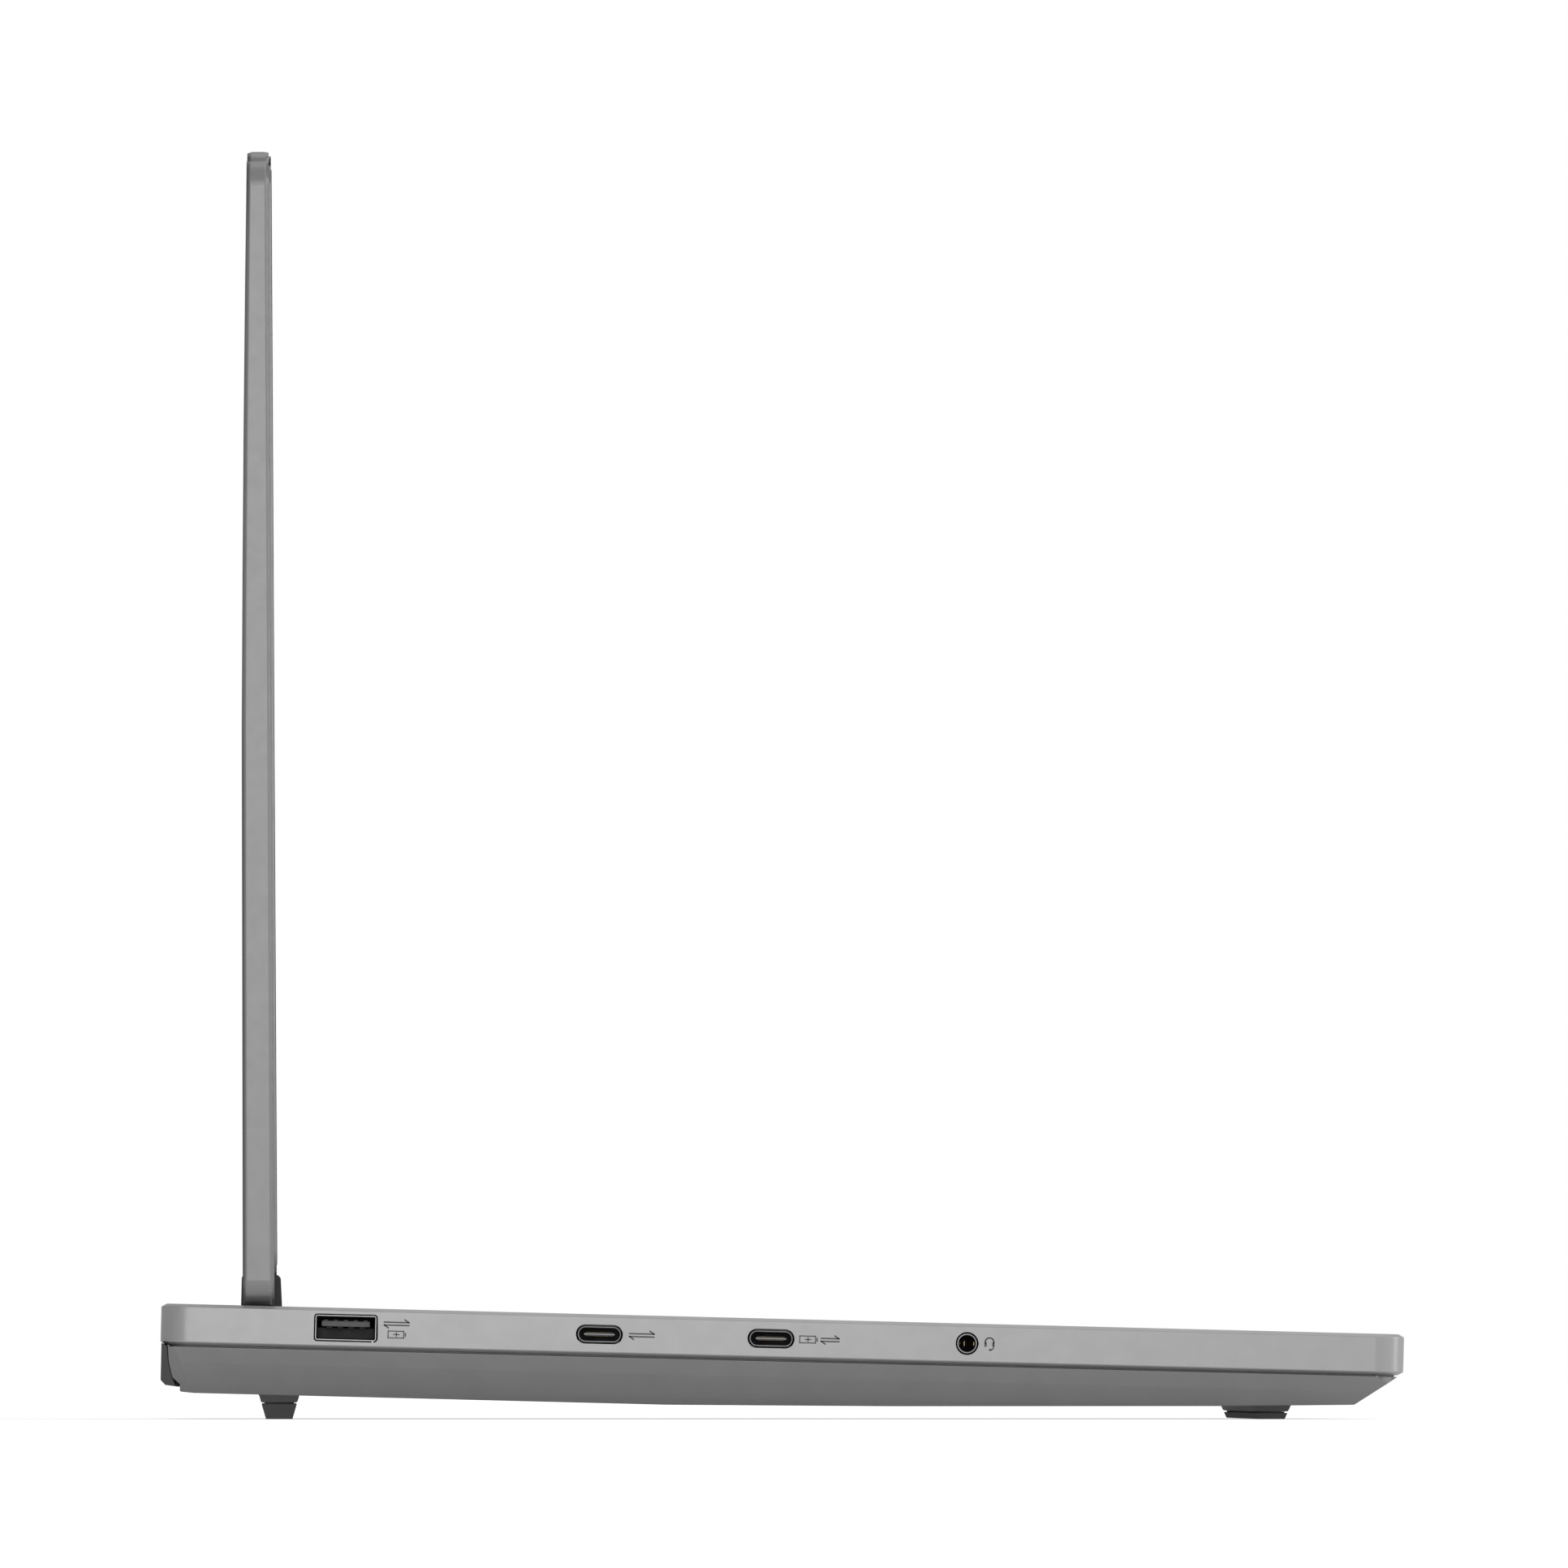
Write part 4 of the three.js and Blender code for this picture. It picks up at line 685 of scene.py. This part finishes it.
def dust_meshes():
    """Woven mesh behind the air slots in the floor."""
    def lattice(x0, x1, y0, y1, z, pitch=1.5, wire=0.3):
        columns = int((x1 - x0) / pitch)
        rows = int((y1 - y0) / pitch)
        bars = [soft_box(x0 + i * pitch, x0 + i * pitch + wire, y0, y1, z, z + 0.12, 0.02)
                for i in range(columns + 1)]
        bars += [soft_box(x0, x1, y0 + i * pitch, y0 + i * pitch + wire, z + 0.12, z + 0.24, 0.02)
                 for i in range(rows + 1)]
        return merged(*bars)
    floor = -16.7
    piece("dust_mesh_right", lattice(70, 140, 42, 90, floor), DECK, "base", "dust_mesh")
    piece("dust_mesh_left", lattice(-140, -70, 42, 90, floor), DECK, "base", "dust_mesh")


def shutter_cap():
    """The sliding switch, with ribs for a fingertip."""
    lowest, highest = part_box("shutter_switch")
    centre = (lowest + highest) / 2
    middle = DECK.inverted() @ Vector((highest.x, centre.y, centre.z)) / MM
    place = DECK @ Matrix.Translation(Vector((middle.x, middle.y, PORT_Z)) * MM)
    ribs = [soft_box(-0.5, 0, y - 0.22, y + 0.22, -0.75, 0.75, 0.1) for y in (-1.6, -0.8, 0, 0.8, 1.6)]
    slider = merged(soft_box(-2.55, -0.28, -2.45, 2.45, -0.88, 0.88, 0.15),
                    soft_box(-4.5, -2.5, -3.95, 3.95, -1.55, 1.55, 0.15), *ribs)
    piece("shutter_slider_cap", slider, place, "shutter_slider", "dark_plastic", ["shutter_switch"])


# ---------------------------------------------------------------- lid
def lid_weight(middle):
    """A wide chamfer on the lid's outer back edge, a narrow one on its front rim and inner edges."""
    local = LID.inverted() @ middle / MM
    at_edge = abs(local.x) > 171 or local.z > 229.8
    if at_edge and local.y > 0.5:
        return 1.0
    return 0.5 if at_edge else 0.1


def lid_shell():
    softened("lid_back_cover", 1.0, "lid", "lid_shell", weigh=lid_weight, segments=1)
    softened("screen_bezel", 0.16, "lid", "bezel")


def lid_place(x, z, front):
    """Faces the user from the lid: local x to the right, y up and z out of the screen."""
    spot = Matrix.Translation(Vector((x, front, z)) * MM)
    return LID @ spot @ Matrix.Rotation(math.radians(90), 4, "X")


def camera_parts():
    lowest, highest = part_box("webcam_module")
    middle = LID.inverted() @ ((lowest + highest) / 2) / MM
    place = lid_place(0, middle.z, BEZEL_FRONT)
    ring_profile = [(1.66, -0.6), (1.66, -0.02), (1.45, 0.0), (1.2, -0.12), (1.1, -0.5)]
    ring = loft([circle(r, z, 36) for r, z in ring_profile])
    piece("camera_ring", ring, place, "lid", "dark_plastic")
    dome = loft([circle(r, z, 30) for r, z in [(1.08, -0.5), (1.06, -0.3), (0.8, -0.2), (0.4, -0.14)]])
    piece("camera_lens", dome, place, "lid", "lens")
    lamp = loft([circle(r, z, 16) for r, z in [(0.35, -0.2), (0.35, 0.0), (0.25, 0.02)]])
    piece("camera_lamp", shifted(lamp, 6.5, 0, 0), place, "lid", WHITE_LIGHT)
    # The microphone holes are short near-black plugs at the bezel's face: painted shade for the holes' depth
    hole = loft([circle(0.3, -0.1, 14), circle(0.3, 0.012, 14)])
    holes = [shifted(hole, x, 0, 0) for x in (-34, -30, 30, 34)]
    piece("microphone_holes", merged(*holes), place, "lid", "socket_lining")


def gasket():
    """The soft bead that meets the deck when the lid is shut."""
    def ring(inset, z):
        return rounded(-170.2 + inset, 170.2 - inset, 5.4 + inset, 229.4 - inset, 3.6 - inset, z, 8)
    bead = [(0, -0.1), (0.05, 0.06), (0.35, 0.12), (0.75, 0.06), (0.8, -0.1)]
    loop = loft([ring(inset, z) for inset, z in bead], loop=True)
    piece("lid_gasket", loop, lid_place(0, 0, BEZEL_FRONT), "lid", "gasket")


def screen_edge():
    """A thin tape edge between the bezel and the panel's active area."""
    def ring(inset, z):
        return rounded(-162.8 + inset, 162.8 - inset, 17.5 + inset, 221.3 - inset, 0.2, z, 2)
    loop = loft([ring(0.02, -0.98), ring(0.02, -0.6), ring(0.5, -0.6), ring(0.6, -0.98)], loop=True)
    piece("screen_edge", loop, lid_place(0, 0, BEZEL_FRONT), "lid", "bezel")


# ---------------------------------------------------------------- floor, light and camera
def seen_or_lit(tree, seen, lit):
    """The value seen for rays from the camera, and the value lit for the light given to the object."""
    path = tree.nodes.new("ShaderNodeLightPath")
    choice = tree.nodes.new("ShaderNodeMapRange")
    if isinstance(lit, float):
        choice.inputs["To Min"].default_value = lit
    else:
        tree.links.new(lit, choice.inputs["To Min"])
    choice.inputs["To Max"].default_value = seen
    tree.links.new(path.outputs["Is Camera Ray"], choice.inputs["Value"])
    return choice.outputs["Result"]


def floor():
    """A white table top, a little below the feet, whose shadows stay pale."""
    mesh = bpy.data.meshes.new("floor")
    signs = [(-1, -1), (1, -1), (1, 1), (-1, 1)]
    corners = [(x * FLOOR_REACH, y * FLOOR_REACH, -FLOOR_DROP) for x, y in signs]
    mesh.from_pydata(corners, [], [(0, 1, 2, 3)])
    material = surface("pale_floor", (0.86, 0.86, 0.86), 0.9, 0.0, (60,) * 3, 0.0, 1e-5, 0.01)
    tree = material.node_tree
    shader = tree.nodes["Principled BSDF"]
    shader.inputs["Emission Color"].default_value = (1, 1, 1, 1)
    tree.links.new(seen_or_lit(tree, FLOOR_SEEN, FLOOR_LIGHT), shader.inputs["Emission Strength"])
    mesh.materials.append(material)
    made = bpy.data.objects.new("floor", mesh)
    bpy.context.scene.collection.objects.link(made)


def backdrop():
    """A white surround whose light is stronger from the front and from above."""
    world = bpy.data.worlds.new("studio")
    world.use_nodes = True
    tree = world.node_tree
    sky = tree.nodes["Background"]
    sky.inputs["Color"].default_value = (1, 1, 1, 1)
    place = tree.nodes.new("ShaderNodeTexCoord")
    slope = tree.nodes.new("ShaderNodeVectorMath")
    slope.operation = "DOT_PRODUCT"
    slope.inputs[1].default_value = SKY_SLOPE
    light = tree.nodes.new("ShaderNodeMath")
    light.inputs[1].default_value = SKY_LIGHT
    tree.links.new(place.outputs["Generated"], slope.inputs[0])
    tree.links.new(slope.outputs["Value"], light.inputs[0])
    tree.links.new(seen_or_lit(tree, 1.0, light.outputs["Value"]), sky.inputs["Strength"])
    bpy.context.scene.world = world
    bpy.context.scene.view_settings.view_transform = "Standard"


def soft_boxes():
    """Large rectangular lamps that all face the middle of the object."""
    for name, (spot, size, power) in SOFT_BOXES.items():
        lamp = bpy.data.lights.new(name, "AREA")
        lamp.shape = "RECTANGLE"
        lamp.size, lamp.size_y = size
        lamp.energy = power
        made = bpy.data.objects.new(name, lamp)
        made.location = spot
        made.rotation_mode = "QUATERNION"
        made.rotation_quaternion = (LAMPS_FACE - Vector(spot)).to_track_quat("-Z", "Y")
        bpy.context.scene.collection.objects.link(made)


def camera():
    """A very long lens that looks slightly upwards at the left side from near the table's height."""
    side_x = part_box("upper_case")[0].x
    lens = bpy.data.cameras.new("camera")
    lens.sensor_width = SENSOR_WIDTH
    lens.lens = SENSOR_WIDTH * CAMERA_DISTANCE / VIEW_WIDTH
    lens.clip_start, lens.clip_end = CAMERA_CLIP
    made = bpy.data.objects.new("camera", lens)
    eye = Vector((side_x - CAMERA_DISTANCE, EYE_Y, EYE_Z))
    target = Vector((side_x, TARGET_Y, TARGET_Z))
    made.location = eye
    made.rotation_mode = "QUATERNION"
    made.rotation_quaternion = (target - eye).to_track_quat("-Z", "Y")
    bpy.context.scene.collection.objects.link(made)
    bpy.context.scene.camera = made


# ---------------------------------------------------------------- the whole scene
paint_cad_nodes()
base_shells()
keyboard()
touchpad()
power_button()
hinge_covers()
sockets()
marks()
bottom_screws()
dust_meshes()
shutter_cap()
lid_shell()
camera_parts()
gasket()
screen_edge()
floor()
backdrop()
soft_boxes()
camera()
